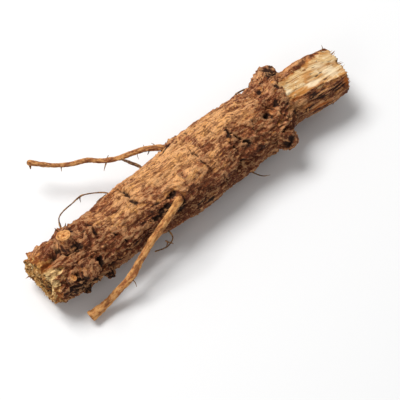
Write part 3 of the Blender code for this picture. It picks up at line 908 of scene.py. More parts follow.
def torn_face(side, angle, share, edge):
    """Points of a broken end's face, and its marks; edge holds the bark's points at the rim."""
    radius, y, z = root_line(side * ROOT_LENGTH / 2)
    flat_x = slanted_end(side, angle, share)
    across_y = y + (edge[..., 1] - y) * share
    across_z = z + (edge[..., 2] - z) * share
    places = np.stack(np.broadcast_arrays(flat_x, across_y, across_z), axis=-1)
    hollow = on_face(places, FACE_HOLLOWS, y, z, radius)
    rough = cloud(places, 2.6, 0, 2) + 0.9 * np.abs(cloud(places, 1.3, 0, 3)) - 0.25
    inward = np.minimum(1, 4 * (1 - share))
    # pale is a painted highlight on the face's high parts plus real pale patches; dark is painted shade in
    # its low parts and hollows
    pale = soft_step(0.25, 0.8, rough) * 0.8 + on_face(places, FACE_PALE, y, z, radius)
    face_marks = {
        "dark": np.clip(0.8 * soft_step(0.05, -0.4, rough) + 0.6 * hollow, 0, 1),
        "pale": np.clip(pale * (0.7 + rough), 0, 1),
    }
    places[..., 0] += side * (rough - hollow) * inward + (edge[..., 0] - flat_x) * share**4
    return places, face_marks


print("a torn face has", len(FACE_HOLLOWS), "hollows and", len(FACE_PALE), "pale patches")

# %% [markdown]
# ## From rings of points to a mesh
# Nearly every piece of this root is a stack of rings, so one helper joins each ring to the next with
# four-sided faces and closes both ends at a tip. The marks are stored on the mesh, where the materials
# can read them. So is the grain: how far along and across the wood each point lies, which the shader
# noise needs to run the right way.

# %% Building a mesh from rings
def ring_faces(rings, sides):
    """Four-sided faces between rings of points that are numbered ring by ring."""
    ring, side = np.meshgrid(np.arange(rings - 1), np.arange(sides), indexing="ij")
    here = ring * sides + side
    beside = ring * sides + (side + 1) % sides
    return np.stack([here, beside, beside + sides, here + sides], axis=-1).reshape(-1, 4)


def root_piece(name, points, faces):
    """A smooth mesh from points in mm that belongs to the root."""
    mesh = bpy.data.meshes.new(name)
    mesh.from_pydata((points * MM).tolist(), [], faces)
    mesh.shade_smooth()
    piece = bpy.data.objects.new(name, mesh)
    bpy.context.scene.collection.objects.link(piece)
    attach(piece, "root")
    return piece


def closed_piece(name, rings, tips, marks_at):
    """A closed mesh from rings of points in mm, with a tip that closes each end. Marks become attributes."""
    count, sides = rings.shape[:2]
    points = np.concatenate([rings.reshape(-1, 3), np.array(tips)])
    faces = ring_faces(count, sides).tolist()
    start, end = count * sides, count * sides + 1
    last = (count - 1) * sides
    faces += [((i + 1) % sides, i, start) for i in range(sides)]
    faces += [(last + i, last + (i + 1) % sides, end) for i in range(sides)]
    piece = root_piece(name, points, faces)
    for mark, values in marks_at.items():
        add_mark(piece.data, mark, np.concatenate([values.reshape(-1), values[0, :1], values[-1, :1]]))
    return piece


def add_mark(mesh, mark, values):
    """Stores one number for each point of a mesh."""
    attribute = mesh.attributes.new(mark, "FLOAT", "POINT")
    attribute.data.foreach_set("value", np.asarray(values, np.float32))


def add_grain(mesh, places):
    """Stores where each point lies in the grain: along it and across it, in mm."""
    attribute = mesh.attributes.new("grain", "FLOAT_VECTOR", "POINT")
    attribute.data.foreach_set("vector", np.asarray(places, np.float32).reshape(-1))


print("faces between 3 rings of 8 points", len(ring_faces(3, 8)))

# %% The body of the root
RINGS, SIDES, FACE_RINGS = 400, 224, 24


def root_body():
    """The whole main root as one closed skin."""
    angle = np.linspace(0, 360, SIDES, endpoint=False)[None, :]
    lower, upper = ragged_end(-1, angle), ragged_end(1, angle)
    x = lower + np.linspace(0, 1, RINGS)[:, None] * (upper - lower)
    angle = np.broadcast_to(angle, x.shape)
    bark, marks_at = bark_surface(x, angle)
    share = (np.arange(1, FACE_RINGS) / FACE_RINGS)[:, None]
    lower_face, lower_marks = torn_face(-1, angle[:1], share, bark[:1])
    upper_face, upper_marks = torn_face(1, angle[:1], share[::-1], bark[-1:])
    for row in (0, -1):
        _, y, z = root_line(bark[row, :, 0])
        bark[row, :, 1] += EDGE_LOSS * (y - bark[row, :, 1])
        bark[row, :, 2] += EDGE_LOSS * (z - bark[row, :, 2])
    rings = np.concatenate([lower_face, bark, upper_face])
    none = np.zeros(lower_face.shape[:2])
    for mark, values in marks_at.items():
        marks_at[mark] = np.concatenate([lower_marks.get(mark, none), values, upper_marks.get(mark, none)])
    tips = [lower_face[0].mean(axis=0), upper_face[-1].mean(axis=0)]
    piece = closed_piece("root_body", rings, tips, marks_at)
    radius, _, _ = root_line(x)
    turn = np.radians(parted(x, angle, radius))
    grain = np.stack([x, -np.sin(turn) * radius, np.cos(turn) * radius], axis=-1)
    grain = np.concatenate([lower_face, grain, upper_face]).reshape(-1, 3)
    add_grain(piece.data, np.concatenate([grain, np.array(tips)]))
    return piece, marks_at


body, body_marks = root_body()
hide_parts("root")
print("root_body has", len(body.data.polygons), "faces")

# %% [markdown]
# ## Stubs and knobs
# Where a side root was cut or broken off, a stub is left: a short trunk that widens into the bark, with a
# face that is flat, dished or hollow. Knobs are stubs that healed over into a dome. Each one is a stack
# of rings on a short line that starts inside the root, so its foot is hidden.

# %% Where a stub stands
STUB_RINGS, STUB_SIDES = 48, 64
# a ring of the profile that is paler than this belongs to the cut face
CUT_FROM = 0.6


def bark_point(x, angle):
    """The point of the root's large form at x and an angle, in mm."""
    radius, y, z = root_line(x)
    swelling = float(large_form(np.array([[x]]), np.array([[angle]]), np.array([[radius]]))[0, 0])
    reach = float(radius) + swelling
    turn = math.radians(angle)
    return np.array([x, float(y) - reach * math.sin(turn), float(z) + reach * math.cos(turn)])


def frame_along(way):
    """Two directions square to a way: the one that is nearest to up, and the one at its right."""
    upright = np.array([0, 0, 1.0]) - way * way[2]
    upright /= np.linalg.norm(upright)
    return upright, np.cross(upright, way)


def sunk(rings, inner, rows, holes):
    """The rings with holes pushed towards an inner point, and how holed each place is.

    A hole is a profile row, degrees from the stub's upper side, its reach and its depth.
    """
    holed = np.zeros(rings.shape[:2])
    for row, facing, reach, depth in holes:
        ring = round(row / (rows - 1) * (STUB_RINGS - 1))
        middle = rings[ring, round(facing % 360 / 360 * STUB_SIDES)]
        near = np.exp(-np.sum((rings - middle) ** 2, axis=-1) / reach**2)
        inward = (inner - rings) / np.linalg.norm(inner - rings, axis=-1, keepdims=True)
        rings = rings + inward * (depth * near)[..., None]
        holed = np.maximum(holed, near)
    return rings, holed


print("the cut stub stands at", [round(float(v), 1) for v in bark_point(-55.8, -9)], "mm")

# %% One stub
def stub(name, x, angle, toward, lean, radius, profile, tall, roughness, seed, holes):
    """A stub on the bark; its profile's heights are multiplied by tall."""
    profile = [(row[0] * tall, *row[1:]) for row in profile]
    foot = bark_point(x, angle)
    way = np.array([lean, -math.sin(math.radians(toward)), math.cos(math.radians(toward))])
    way /= np.linalg.norm(way)
    upright, side = frame_along(way)
    lengths = np.linspace(0, len(profile) - 1, STUB_RINGS)
    height, share, pale, dark = (np.interp(lengths, range(len(profile)), column) for column in zip(*profile))
    turn = np.radians(np.linspace(0, 360, STUB_SIDES, endpoint=False)[None, :])
    across = upright * np.cos(turn)[..., None] + side * np.sin(turn)[..., None]
    plain = foot + across * (radius * share)[:, None, None] + way * height[:, None, None]
    coarse, fine = cloud(plain, 2.8, seed, 3), cloud(plain, 1.2, seed + 5, 3)
    grown = radius * share[:, None] * (1 + roughness * (0.9 * coarse + 0.7 * fine))
    lift = height[:, None] + roughness * (1.2 * coarse + 1.2 * fine)
    rings = foot + across * grown[..., None] + way * lift[..., None]
    rings, holed = sunk(rings, foot + way * height[-1] * 0.4, len(profile), holes)
    pale_at = np.broadcast_to(pale[:, None], grown.shape) * 1.0
    marks_at = {
        "worn": np.clip(0.7 + 0.9 * coarse - pale_at, 0, 1),
        # a faint share of the same red-brown painted shade and damp on the stub's bark, none on its cut face
        "shade_and_damp": 0.25 - 0.25 * pale_at,
        # painted shade in the low places of the stub's uneven skin, a painted highlight on its raised ones
        "low": np.clip(0.5 - 1.6 * fine, 0, 1),
        "pale": pale_at,
        # painted shade at the foot and in the holes; near the top, the cut face's darker ring and middle
        "dark": np.clip(np.maximum(dark[:, None] * (1 - 1.2 * fine), 1.9 * holed), 0, 1),
        "fresh": pale_at,
    }
    piece = closed_piece(name, rings, [foot + way * height[0], foot + way * height[-1]], marks_at)
    grain = np.stack([lift * 1.5, np.cos(turn) * grown, np.sin(turn) * grown], axis=-1).reshape(-1, 3)
    add_grain(piece.data, np.concatenate([grain, [[0, 0, 0]], [[1, 0, 0]]]) + seed)
    cut_rows = (pale[:-1] + pale[1:]) / 2 > CUT_FROM
    caps = np.concatenate([np.full(STUB_SIDES, False), np.full(STUB_SIDES, pale[-1] > CUT_FROM)])
    for _ in range(2):
        piece.data.materials.append(None)
    cut = np.concatenate([np.repeat(cut_rows, STUB_SIDES), caps]).astype(np.int32)
    piece.data.polygons.foreach_set("material_index", cut)
    return piece


# %% The forms that a stub can have
CUT_FACE = (
    # height, share of the radius, how pale, how dark; dark near the foot is painted shade where the stub
    # meets the bark, dark near the top is the cut face's darker ring and middle
    (-2.0, 1.5, 0, 0.4),
    (-0.3, 1.3, 0, 0.6),
    (0.6, 1.12, 0, 0.35),
    (1.6, 1.04, 0, 0.1),
    (2.8, 1.02, 0.2, 0),
    (3.5, 1.06, 0.5, 0),
    (3.75, 1.0, 1, 0),
    (3.68, 0.92, 1, 0.05),
    (3.50, 0.80, 1, 0.30),
    (3.46, 0.60, 1, 0.05),
    (3.46, 0.35, 1, 0.05),
    (3.35, 0.16, 1, 0.30),
    (3.1, 0.06, 1, 0.7),
)
# the dark rows near a knob's foot are painted shade where it meets the bark
KNOB = (
    (-2.0, 1.3, 0, 0),
    (-0.3, 1.20, 0, 0.4),
    (0.6, 1.06, 0, 0.1),
    (1.3, 0.98, 0, 0),
    (1.9, 0.74, 0, 0),
    (2.25, 0.45, 0, 0),
    (2.35, 0.15, 0, 0),
)
DARK_KNOB = tuple((height, share, 0, 0.6) for height, share, _, _ in KNOB)
KNUCKLE_HOLES = ((1.2, 240, 1.7, 1.4), (1.6, 206, 0.9, 0.8))
STUB_HOLES = ((3.2, 0, 1.4, 2.6), (1.5, 294, 1.2, 2.0), (2.8, 282, 1.5, 2.6), (4.4, 330, 0.7, 1.0))
BUD_HOLES = ((3.9, -66, 1.1, 2.0), (4.5, 70, 0.6, 0.9), (2.8, 10, 0.6, 0.9))
print("a cut stub is", max(row[0] for row in CUT_FACE), "mm high, a knob", max(row[0] for row in KNOB), "mm")

# %% All the stubs and knobs
STUBS = (
    # name, x, angle of its foot, angle it points at, lean along the root, radius,
    # profile, what its heights are multiplied by, roughness, seed, holes
    ("cut_stub", -55.8, -9, -23, 0.09, 2.45, CUT_FACE, 1.0, 0.07, 301.0, ()),
    ("knuckle", -54.0, 54, 50, 0.25, 3.2, KNOB, 1.0, 0.24, 311.0, KNUCKLE_HOLES),
    ("pale_chip", -61.4, 53, 20, 0.5, 1.15, CUT_FACE, 0.42, 0.12, 316.0, ()),
    ("dark_knob", -47.6, 107, 112, 0.15, 1.7, DARK_KNOB, 1.2, 0.30, 321.0, ((4, -20, 0.5, 0.9),)),
    ("low_knob", -57.2, 104, 110, -0.1, 1.4, DARK_KNOB, 0.95, 0.30, 331.0, ((4, 30, 0.5, 0.8),)),
    ("hollow_stub", 33.6, 84, 80, 0.10, 3.3, KNOB, 1.0, 0.18, 341.0, STUB_HOLES),
    ("gnarl_bud", 44.6, -58, -45, 0.3, 2.1, KNOB, 0.75, 0.22, 351.0, BUD_HOLES),
    ("back_stub", 12.0, -128, -120, 0.3, 1.8, CUT_FACE, 0.60, 0.12, 361.0, ()),
    ("back_knob", -24.0, -138, -138, 0.2, 1.4, KNOB, 0.60, 0.30, 371.0, ()),
)
stubs = [stub(*row) for row in STUBS]
print("stubs and knobs", len(stubs))

# %% [markdown]
# ## Loose flakes and torn fibres
# Old bark sheds small flakes that stand up at one end, and torn wood ends in fine stiff fibres. A flake
# is a thin curved slab, pinned at one end, that follows the bark. A fibre is a thin cone that sticks out
# of a rim. There are hundreds, so they are made together, each kind as one mesh of many small closed
# shapes.

# %% Many small closed shapes in one mesh
# no flake and no fibre reaches lower over the floor than this, in mm
FLOOR_GAP = 0.02


def many_piece(name, shapes, shape_marks):
    """One mesh of many stacks of rings; shapes is an array of shape, ring, side and place in mm."""
    count, rings, sides = shapes.shape[:3]
    last = (rings - 1) * sides
    half = np.arange(sides // 2 - 1)
    first_cap = np.stack([half + 1, half, sides - 1 - half, sides - 2 - half], axis=-1)
    last_cap = last + first_cap[:, [1, 0, 3, 2]]
    one_shape = np.concatenate([ring_faces(rings, sides), first_cap, last_cap])
    faces = (one_shape[None] + (np.arange(count) * rings * sides)[:, None, None]).reshape(-1, 4)
    piece = root_piece(name, shapes.reshape(-1, 3), faces.tolist())
    for mark, values in shape_marks.items():
        add_mark(piece.data, mark, np.repeat(values, rings * sides))
    add_grain(piece.data, shapes.reshape(-1, 3))
    return piece


# %% Loose bark flakes
FLAKE_TRIES, FLAKE_SEED, FLAKE_REACH = 1000, 17, 63
# no flake lies on the bare wood, or nearer to a stub than its radius times the margin
OPEN_WOOD_FROM, OPEN_WOOD_FACING, OPEN_WOOD_HALF_ANGLE, STUB_MARGIN = 38, 3, 66, 1.4
FLAKE_THICKNESS, FLAKE_SINK, FLAKE_DROOP = 0.20, 0.12, 0.10
# share of the length, share of the width
FLAKE_OUTLINE = ((0, 0.35), (0.16, 0.85), (0.36, 1.0), (0.58, 0.92), (0.78, 0.7), (0.92, 0.42), (1, 0.12))
# the six corners of a flake's section: which side, and 1 on top
FLAKE_SECTION = ((-1, 0), (0, 0), (1, 0), (1, 1), (0, 1), (-1, 1))


def flake_places(chance):
    """x, angle and radius of random places on rough bark, clear of the bare wood and of the stubs."""
    x = chance.uniform(-FLAKE_REACH, FLAKE_REACH, FLAKE_TRIES)
    angle = chance.uniform(0, 360, FLAKE_TRIES)
    radius, _, _ = root_line(x)
    rough = share_marked(x, angle, radius, ROUGH_PLACES)
    open_wood = (x > OPEN_WOOD_FROM) & (np.abs(turned(angle, OPEN_WOOD_FACING)) < OPEN_WOOD_HALF_ANGLE)
    by_stub = np.zeros(FLAKE_TRIES, bool)
    for row in STUBS:
        away = np.hypot(x - row[1], np.radians(turned(angle, row[2])) * radius)
        by_stub |= away < STUB_MARGIN * row[5]
    kept = (chance.uniform(0.1, 1.3, FLAKE_TRIES) < rough) & ~open_wood & ~by_stub
    return x[kept], angle[kept], radius[kept]


def flakes():
    """Thin slabs that lift off the rough parts of the bark."""
    chance = np.random.default_rng(FLAKE_SEED)
    x, angle, radius = flake_places(chance)
    count = len(x)
    each = (count, 1, 1)
    length = chance.uniform(0.7, 2.0, each)
    width = chance.uniform(0.25, 0.6, each)
    lift = chance.uniform(0.1, 0.9, each) ** 2 * 0.9
    heading = np.radians(chance.normal(0, 38, each) + 180 * chance.integers(0, 2, each))
    share, wide = np.array(FLAKE_OUTLINE).T[:, None, :, None]
    side, top = np.array(FLAKE_SECTION, float).T
    along = (share - 0.3) * length
    off = side * (wide * width)
    off = off + 0.25 * np.sin(9 * share + 7 * x.reshape(each)) * width
    place_x = x.reshape(each) + along * np.cos(heading) - off * np.sin(heading)
    arc = along * np.sin(heading) + off * np.cos(heading)
    turn = np.radians(angle.reshape(each) + np.degrees(arc / radius.reshape(each)))
    points, _ = bark_surface(x[:, None], angle[:, None])
    _, here_y, here_z = root_line(x)
    ground = np.hypot(points[:, 0, 1] - here_y, points[:, 0, 2] - here_z) - radius
    above = ground.reshape(each) - FLAKE_SINK + lift * share**1.6
    above = above + top * FLAKE_THICKNESS - FLAKE_DROOP * side**2
    line_radius, y, z = root_line(place_x)
    full = line_radius + above
    height = np.maximum(z + full * np.cos(turn), FLOOR_GAP)
    shapes = np.stack([place_x, y - full * np.sin(turn), height], axis=-1)
    tone = chance.uniform(0, 1, count)
    flake_marks = {
        "worn": np.clip(tone * 1.3, 0, 1),
        "fresh": np.clip(0.8 - tone * 1.5, 0, 1),
        "low": chance.uniform(0.1, 0.7, count),
    }
    return many_piece("bark_flakes", shapes, flake_marks)


loose_flakes = flakes()
print("bark_flakes has", len(loose_flakes.data.polygons), "faces")

# %% Torn fibres at both ends
FIBRE_SIDES = 6
# share of the length, share of the width
FIBRE_OUTLINE = ((0.0, 1.0), (0.35, 0.85), (0.7, 0.55), (1.0, 0.15))


def fibres(name, side, count, longest, seed):
    """Short stiff fibres that stand out of an end's face, most of them near its rim."""
    chance = np.random.default_rng(seed)
    angle = chance.uniform(0, 360, count)
    share = np.sqrt(chance.uniform(0.05, 0.93, count))
    x = ragged_end(side, angle[None, :])[0]
    edge, _ = bark_surface(x[None, :] - side * 0.3, angle[None, :])
    face, _ = torn_face(side, angle[None, :], share[None, :], edge)
    start = face[0]
    start[:, 0] -= side * 0.5
    each = (count, 1, 1, 1)
    length = 0.5 + longest * chance.uniform(0, 1, each) ** 4
    width = chance.uniform(0.14, 0.42, each)
    way = np.stack([np.full(count, side * 1.0), *chance.normal(0, 0.20, (2, count))], axis=-1)
    bend = chance.normal(0, 0.25, (count, 3))
    steps, wide = np.array(FIBRE_OUTLINE).T[:, None, :, None, None]
    turn = np.linspace(0, 2 * math.pi, FIBRE_SIDES, endpoint=False)
    ring = np.stack([np.zeros(FIBRE_SIDES), np.cos(turn), np.sin(turn)], axis=-1)
    middle = start[:, None, None] + (way[:, None, None] + bend[:, None, None] * steps) * steps * length
    shapes = middle + ring * (width * wide)
    shapes[..., 2] = np.maximum(shapes[..., 2], FLOOR_GAP)
    fibre_marks = {"pale": chance.uniform(0, 1, count) ** 2, "stain": chance.uniform(0, 0.6, count)}
    return many_piece(name, shapes, fibre_marks)


lower_fibres = fibres("lower_fibres", -1, 260, 1.2, 23)
upper_fibres = fibres("upper_fibres", 1, 260, 1.8, 29)
print("torn fibres have", len(lower_fibres.data.polygons) + len(upper_fibres.data.polygons), "faces")

# %% [markdown]
# ## Rootlets
# A rootlet is a thin root of its own, with a wrinkled skin and small knots. Each one is swept along a
# route through a few points, thick at its foot and uneven all along. The wiry ones are only half a
# millimetre thick.

# %% The line of a rootlet
def rootlet_line(route, radii, step, end):
    """Rows of x, y, z and radius along a route, how long it is, and which way it ends.

    The end rows say how far on they lie and their share of the radius.
    """
    rows, reached = [], 0.0
    for index, (point, radius) in enumerate(zip(route, radii)):
        if index:
            reached += (Vector(point) - Vector(route[index - 1])).length
        rows.append((reached, *point, radius))
    count = max(len(route), round(reached / step))
    line = np.array([smooth_between(rows, reached * i / count) for i in range(count + 1)])
    last_way = line[-1, :3] - line[-2, :3]
    last_way /= np.linalg.norm(last_way)
    for on, share in end:
        line = np.vstack([line, [*(line[count, :3] + last_way * on), line[count, 3] * share]])
    return line, reached, last_way


short_line, short_length, _ = rootlet_line(((0, 0, 0), (2, 0, 1), (4, 0, 0)), (1, 1, 1), 0.5, ())
print("a route of", round(short_length, 1), "mm in steps of half a millimetre has", len(short_line), "rings")

# %% Sweeping along a route
# the side of a rootlet that its rings start from, and how far apart the grain lies on its end rows
SWEEP_UP, END_GRAIN = (0, 0.3, 1.0), 0.3


def swept(name, route, radii, sides, step, unevenness, seed, end=()):
    """A rootlet along a route: rings that are square to it, and uneven."""
    line, reached, last_way = rootlet_line(route, radii, step, end)
    centres, widths = line[:, :3], line[:, 3]
    total, end_count = len(line), len(end)
    ahead = np.gradient(centres[: total - end_count], axis=0)
    ahead = np.vstack([ahead] + [last_way[None]] * end_count)
    ahead /= np.linalg.norm(ahead, axis=1, keepdims=True)
    reference = np.array(SWEEP_UP)
    across = reference - ahead * (ahead @ reference)[:, None]
    across /= np.linalg.norm(across, axis=1, keepdims=True)
    upright = np.cross(ahead, across)
    turn = np.linspace(0, 2 * math.pi, sides, endpoint=False)
    along = np.linspace(0, reached, total - end_count)
    along = np.concatenate([along, [reached + END_GRAIN * i for i in range(1, end_count + 1)]])
    place_x = np.repeat(along[:, None], sides, axis=1)
    degrees = np.degrees(np.repeat(turn[None, :], total, axis=0))
    bulges = ring_noise(place_x, degrees, 5.5, 0.5, seed + 3, 2)
    knots = ring_noise(place_x, degrees, 2.4, 1.0, seed, 3)
    creases = ring_noise(place_x, degrees, 1.1, 2.4, seed + 7, 3)
    grown = widths[:, None] * (1 + unevenness * (0.9 * bulges + 0.9 * knots + 0.7 * creases))
    ways = across[:, None] * np.cos(turn)[None, :, None] + upright[:, None] * np.sin(turn)[None, :, None]
    rings = centres[:, None] + ways * grown[..., None]
    inner = np.zeros(total)
    inner[total - end_count :] = np.linspace(0, 1, end_count)
    # low is painted shade in the skin's creases and a painted highlight on its knots; inner darkens the end
    # rows, as painted shade inside the thick rootlet's hollow broken end and a dark tip on the others
    marks_at = {
        "low": np.clip(0.5 - 1.5 * knots - 1.2 * creases, 0, 1),
        "inner": np.repeat(inner[:, None], sides, axis=1),
    }
    piece = closed_piece(name, rings, [centres[0], centres[-1]], marks_at)
    grain = np.stack([place_x, np.cos(turn) * grown, np.sin(turn) * grown], axis=-1).reshape(-1, 3)
    add_grain(piece.data, np.concatenate([grain, [[0, 0, 0]], [[reached, 0, 0]]]))
    return piece


# %% The thick rootlet and the long one
THICK_ROUTE = (
    (-13.5, -6.5, 18.4),
    (-15.6, -9.0, 21.4),
    (-22.2, -11.4, 20.5),
    (-30.5, -13.3, 16.9),
    (-37.4, -15.2, 13.2),
    (-42.6, -17.1, 10.5),
    (-48.3, -17.6, 7.9),
    (-54.6, -17.9, 5.0),
    (-61.0, -17.8, 3.2),
)
THICK_RADII = (1.5, 1.35, 1.3, 1.3, 1.25, 1.4, 1.3, 1.35, 1.9)
# how far on, share of the radius: the broken end is hollow, so its last rows lead back in
BROKEN_END = ((0.6, 0.95), (0.75, 0.74), (0.2, 0.52), (-0.6, 0.3))
LONG_ROUTE = (
    (-1.5, 10.5, 16.2),
    (-6.0, 14.8, 16.5),
    (-12.0, 18.4, 15.8),
    (-19.0, 21.2, 14.5),
    (-24.0, 24.0, 14.0),
    (-29.0, 28.0, 14.2),
    (-34.0, 30.6, 13.4),
    (-39.5, 34.6, 13.1),
    (-45.3, 40.2, 13.7),
)
LONG_RADII = (1.7, 1.1, 1.0, 0.95, 0.85, 0.9, 0.85, 0.80, 1.0)
ROUND_END = ((0.4, 0.9), (0.8, 0.66), (1.0, 0.3))
thick_rootlet = swept("thick_rootlet", THICK_ROUTE, THICK_RADII, 36, 0.30, 0.15, 201.0, BROKEN_END)
long_rootlet = swept("long_rootlet", LONG_ROUTE, LONG_RADII, 28, 0.30, 0.17, 211.0, ROUND_END)
for piece in (thick_rootlet, long_rootlet):
    print(piece.name, "has", len(piece.data.polygons), "faces")

# %% The routes of the wiry rootlets
WIRES = (
    # name, route, radii
    (
        "arched_wire",
        ((-30.0, 8.0, 16.0), (-32.6, 11.4, 18.0), (-38.5, 15.0, 18.2), (-40.5, 15.6, 18.0),
         (-44.5, 15.3, 17.5), (-48.2, 15.0, 17.0), (-51.0, 13.6, 16.9), (-53.0, 9.2, 15.0)),
        (0.26, 0.24, 0.22, 0.34, 0.22, 0.24, 0.24, 0.45),
    ),
    (
        "hooked_wire",
        ((-21.6, -8.0, 7.6), (-21.0, -11.6, 6.8), (-21.6, -12.9, 5.2), (-24.4, -13.2, 3.6),
         (-28.6, -11.6, 2.4)),
        (0.35, 0.27, 0.25, 0.24, 0.22),
    ),
    (
        "dark_spur",
        ((-14.4, 9.4, 15.0), (-16.6, 13.2, 17.0), (-18.2, 16.0, 17.4), (-19.6, 19.0, 17.2)),
        (0.75, 0.62, 0.52, 0.34),
    ),
    (
        "back_wire",
        ((28.0, 11.5, 11.0), (30.0, 16.5, 9.5), (34.5, 20.0, 6.0), (40.5, 20.8, 3.2), (46.0, 19.0, 2.0)),
        (0.5, 0.36, 0.34, 0.34, 0.25),
    ),
    (
        "under_wire",
        ((-38.0, 9.0, 7.0), (-37.0, 13.2, 5.6), (-33.5, 16.6, 3.4), (-28.5, 18.2, 1.8)),
        (0.5, 0.36, 0.34, 0.25),
    ),
)
WIRE_SIDES, WIRE_STEP, WIRE_END = 12, 0.22, ((0.15, 0.5),)
wires = [
    swept(name, route, radii, WIRE_SIDES, WIRE_STEP, 0.40, 220.0 + index, WIRE_END)
    for index, (name, route, radii) in enumerate(WIRES)
]
print("wiry rootlets", len(wires))

# %% The short spurs
SPURS = (
    # from, over, to, radius at the foot
    ((-43.6, -17.2, 10.0), (-43.2, -19.4, 9.4), (-43.6, -20.9, 8.7), 0.26),
    ((-23.0, 23.4, 14.0), (-24.6, 22.4, 13.2), (-26.0, 21.4, 12.3), 0.30),
    ((-23.2, 23.6, 14.1), (-22.4, 23.9, 14.6), (-21.6, 24.3, 15.1), 0.28),
    ((-10.2, 17.3, 16.0), (-10.0, 18.1, 16.4), (-9.8, 19.0, 16.8), 0.26),
    ((-8.7, 16.4, 16.2), (-9.6, 16.0, 15.7), (-10.6, 15.6, 15.1), 0.24),
    ((-13.0, 18.8, 15.6), (-13.6, 17.6, 15.0), (-13.9, 16.4, 14.3), 0.18),
    ((-36.5, 32.4, 13.3), (-37.4, 31.8, 12.8), (-38.0, 30.9, 12.1), 0.28),
    ((-6.6, 15.4, 16.5), (-6.7, 16.5, 17.0), (-7.2, 17.6, 17.2), 0.24),
    ((-40.4, 15.6, 18.0), (-40.9, 14.9, 17.3), (-41.2, 14.3, 16.6), 0.26),
    ((-53.0, 9.6, 15.2), (-54.2, 10.4, 16.6), (-54.6, 11.0, 18.0), 0.40),
    ((-52.6, 9.2, 15.0), (-51.2, 9.6, 17.2), (-50.6, 10.0, 18.6), 0.34),
    ((-24.2, -12.0, 6.2), (-23.2, -13.6, 6.0), (-22.4, -14.4, 5.4), 0.30),
    ((-23.6, -12.8, 6.1), (-24.6, -13.4, 5.5), (-25.4, -13.6, 5.0), 0.26),
    ((66.0, 8.6, 18.6), (67.0, 9.4, 19.3), (67.2, 10.2, 19.9), 0.20),
    ((-45.0, 40.0, 13.6), (-45.7, 39.4, 13.0), (-46.2, 38.4, 12.4), 0.70),
    ((-31.0, 10.5, 14.0), (-33.0, 12.8, 13.0), (-35.4, 13.4, 11.4), 0.24),
    ((18.0, -9.5, 5.5), (20.4, -12.4, 4.2), (23.6, -13.4, 2.6), 0.24),
)
SPUR_SIDES, SPUR_STEP = 8, 0.25
spurs = []
for index, (*route, thick) in enumerate(SPURS):
    radii = (thick, 0.75 * thick, 0.3 * thick)
    spurs.append(swept(f"spur_{index + 1}", route, radii, SPUR_SIDES, SPUR_STEP, 0.4, 240.0 + index))
print("spurs", len(spurs))

# %% [markdown]
# ## Colours and shared shader groups
# The bark is ochre under a grey-brown outer layer. Two effects are used by every material, so each is a
# node group: noise that runs with the grain, and a shift from one colour to another that noise decides.

# %% Small helpers for nodes
def linear(red, green, blue):
    """A colour for a shader from its red, green and blue as a screen shows them, 0 to 255."""
    def one(value):
        value /= 255
        return value / 12.92 if value <= 0.04045 else ((value + 0.055) / 1.055) ** 2.4
    return (one(red), one(green), one(blue), 1.0)


def new_group(name, inputs, outputs):
    """An empty node group with its inputs and outputs; returns its tree, input node and output node."""
    tree = bpy.data.node_groups.new(name, "ShaderNodeTree")
    for label, kind, value in inputs:
        socket = tree.interface.new_socket(name=label, in_out="INPUT", socket_type=kind)
        socket.default_value = value
    for label, kind in outputs:
        tree.interface.new_socket(name=label, in_out="OUTPUT", socket_type=kind)
    return tree, tree.nodes.new("NodeGroupInput"), tree.nodes.new("NodeGroupOutput")


def feed(tree, sockets, values):
    """Links each value that is a socket, and sets each one that is a number or a colour."""
    for socket, value in zip(sockets, values):
        if isinstance(value, bpy.types.NodeSocket):
            tree.links.new(value, socket)
        else:
            socket.default_value = value


def add_math(tree, operation, first, second):
    """A math node; first and second are sockets or numbers."""
    node = tree.nodes.new("ShaderNodeMath")
    node.operation = operation
    feed(tree, node.inputs, (first, second))
    return node.outputs["Value"]


def add_mix(tree, factor, first, second):
    """A colour between two; each of the three is a socket or a value."""
    node = tree.nodes.new("ShaderNodeMix")
    node.data_type = "RGBA"
    feed(tree, (node.inputs[0], node.inputs[6], node.inputs[7]), (factor, first, second))
    return node.outputs[2]


def add_range(tree, value, low, high):
    """0 where a value is below low and 1 where it is above high, smooth between."""
    node = tree.nodes.new("ShaderNodeMapRange")
    node.interpolation_type = "SMOOTHSTEP"
    node.inputs["From Min"].default_value = low
    node.inputs["From Max"].default_value = high
    tree.links.new(value, node.inputs["Value"])
    return node.outputs["Result"]


print("middle grey for a shader", round(linear(128, 128, 128)[0], 3))

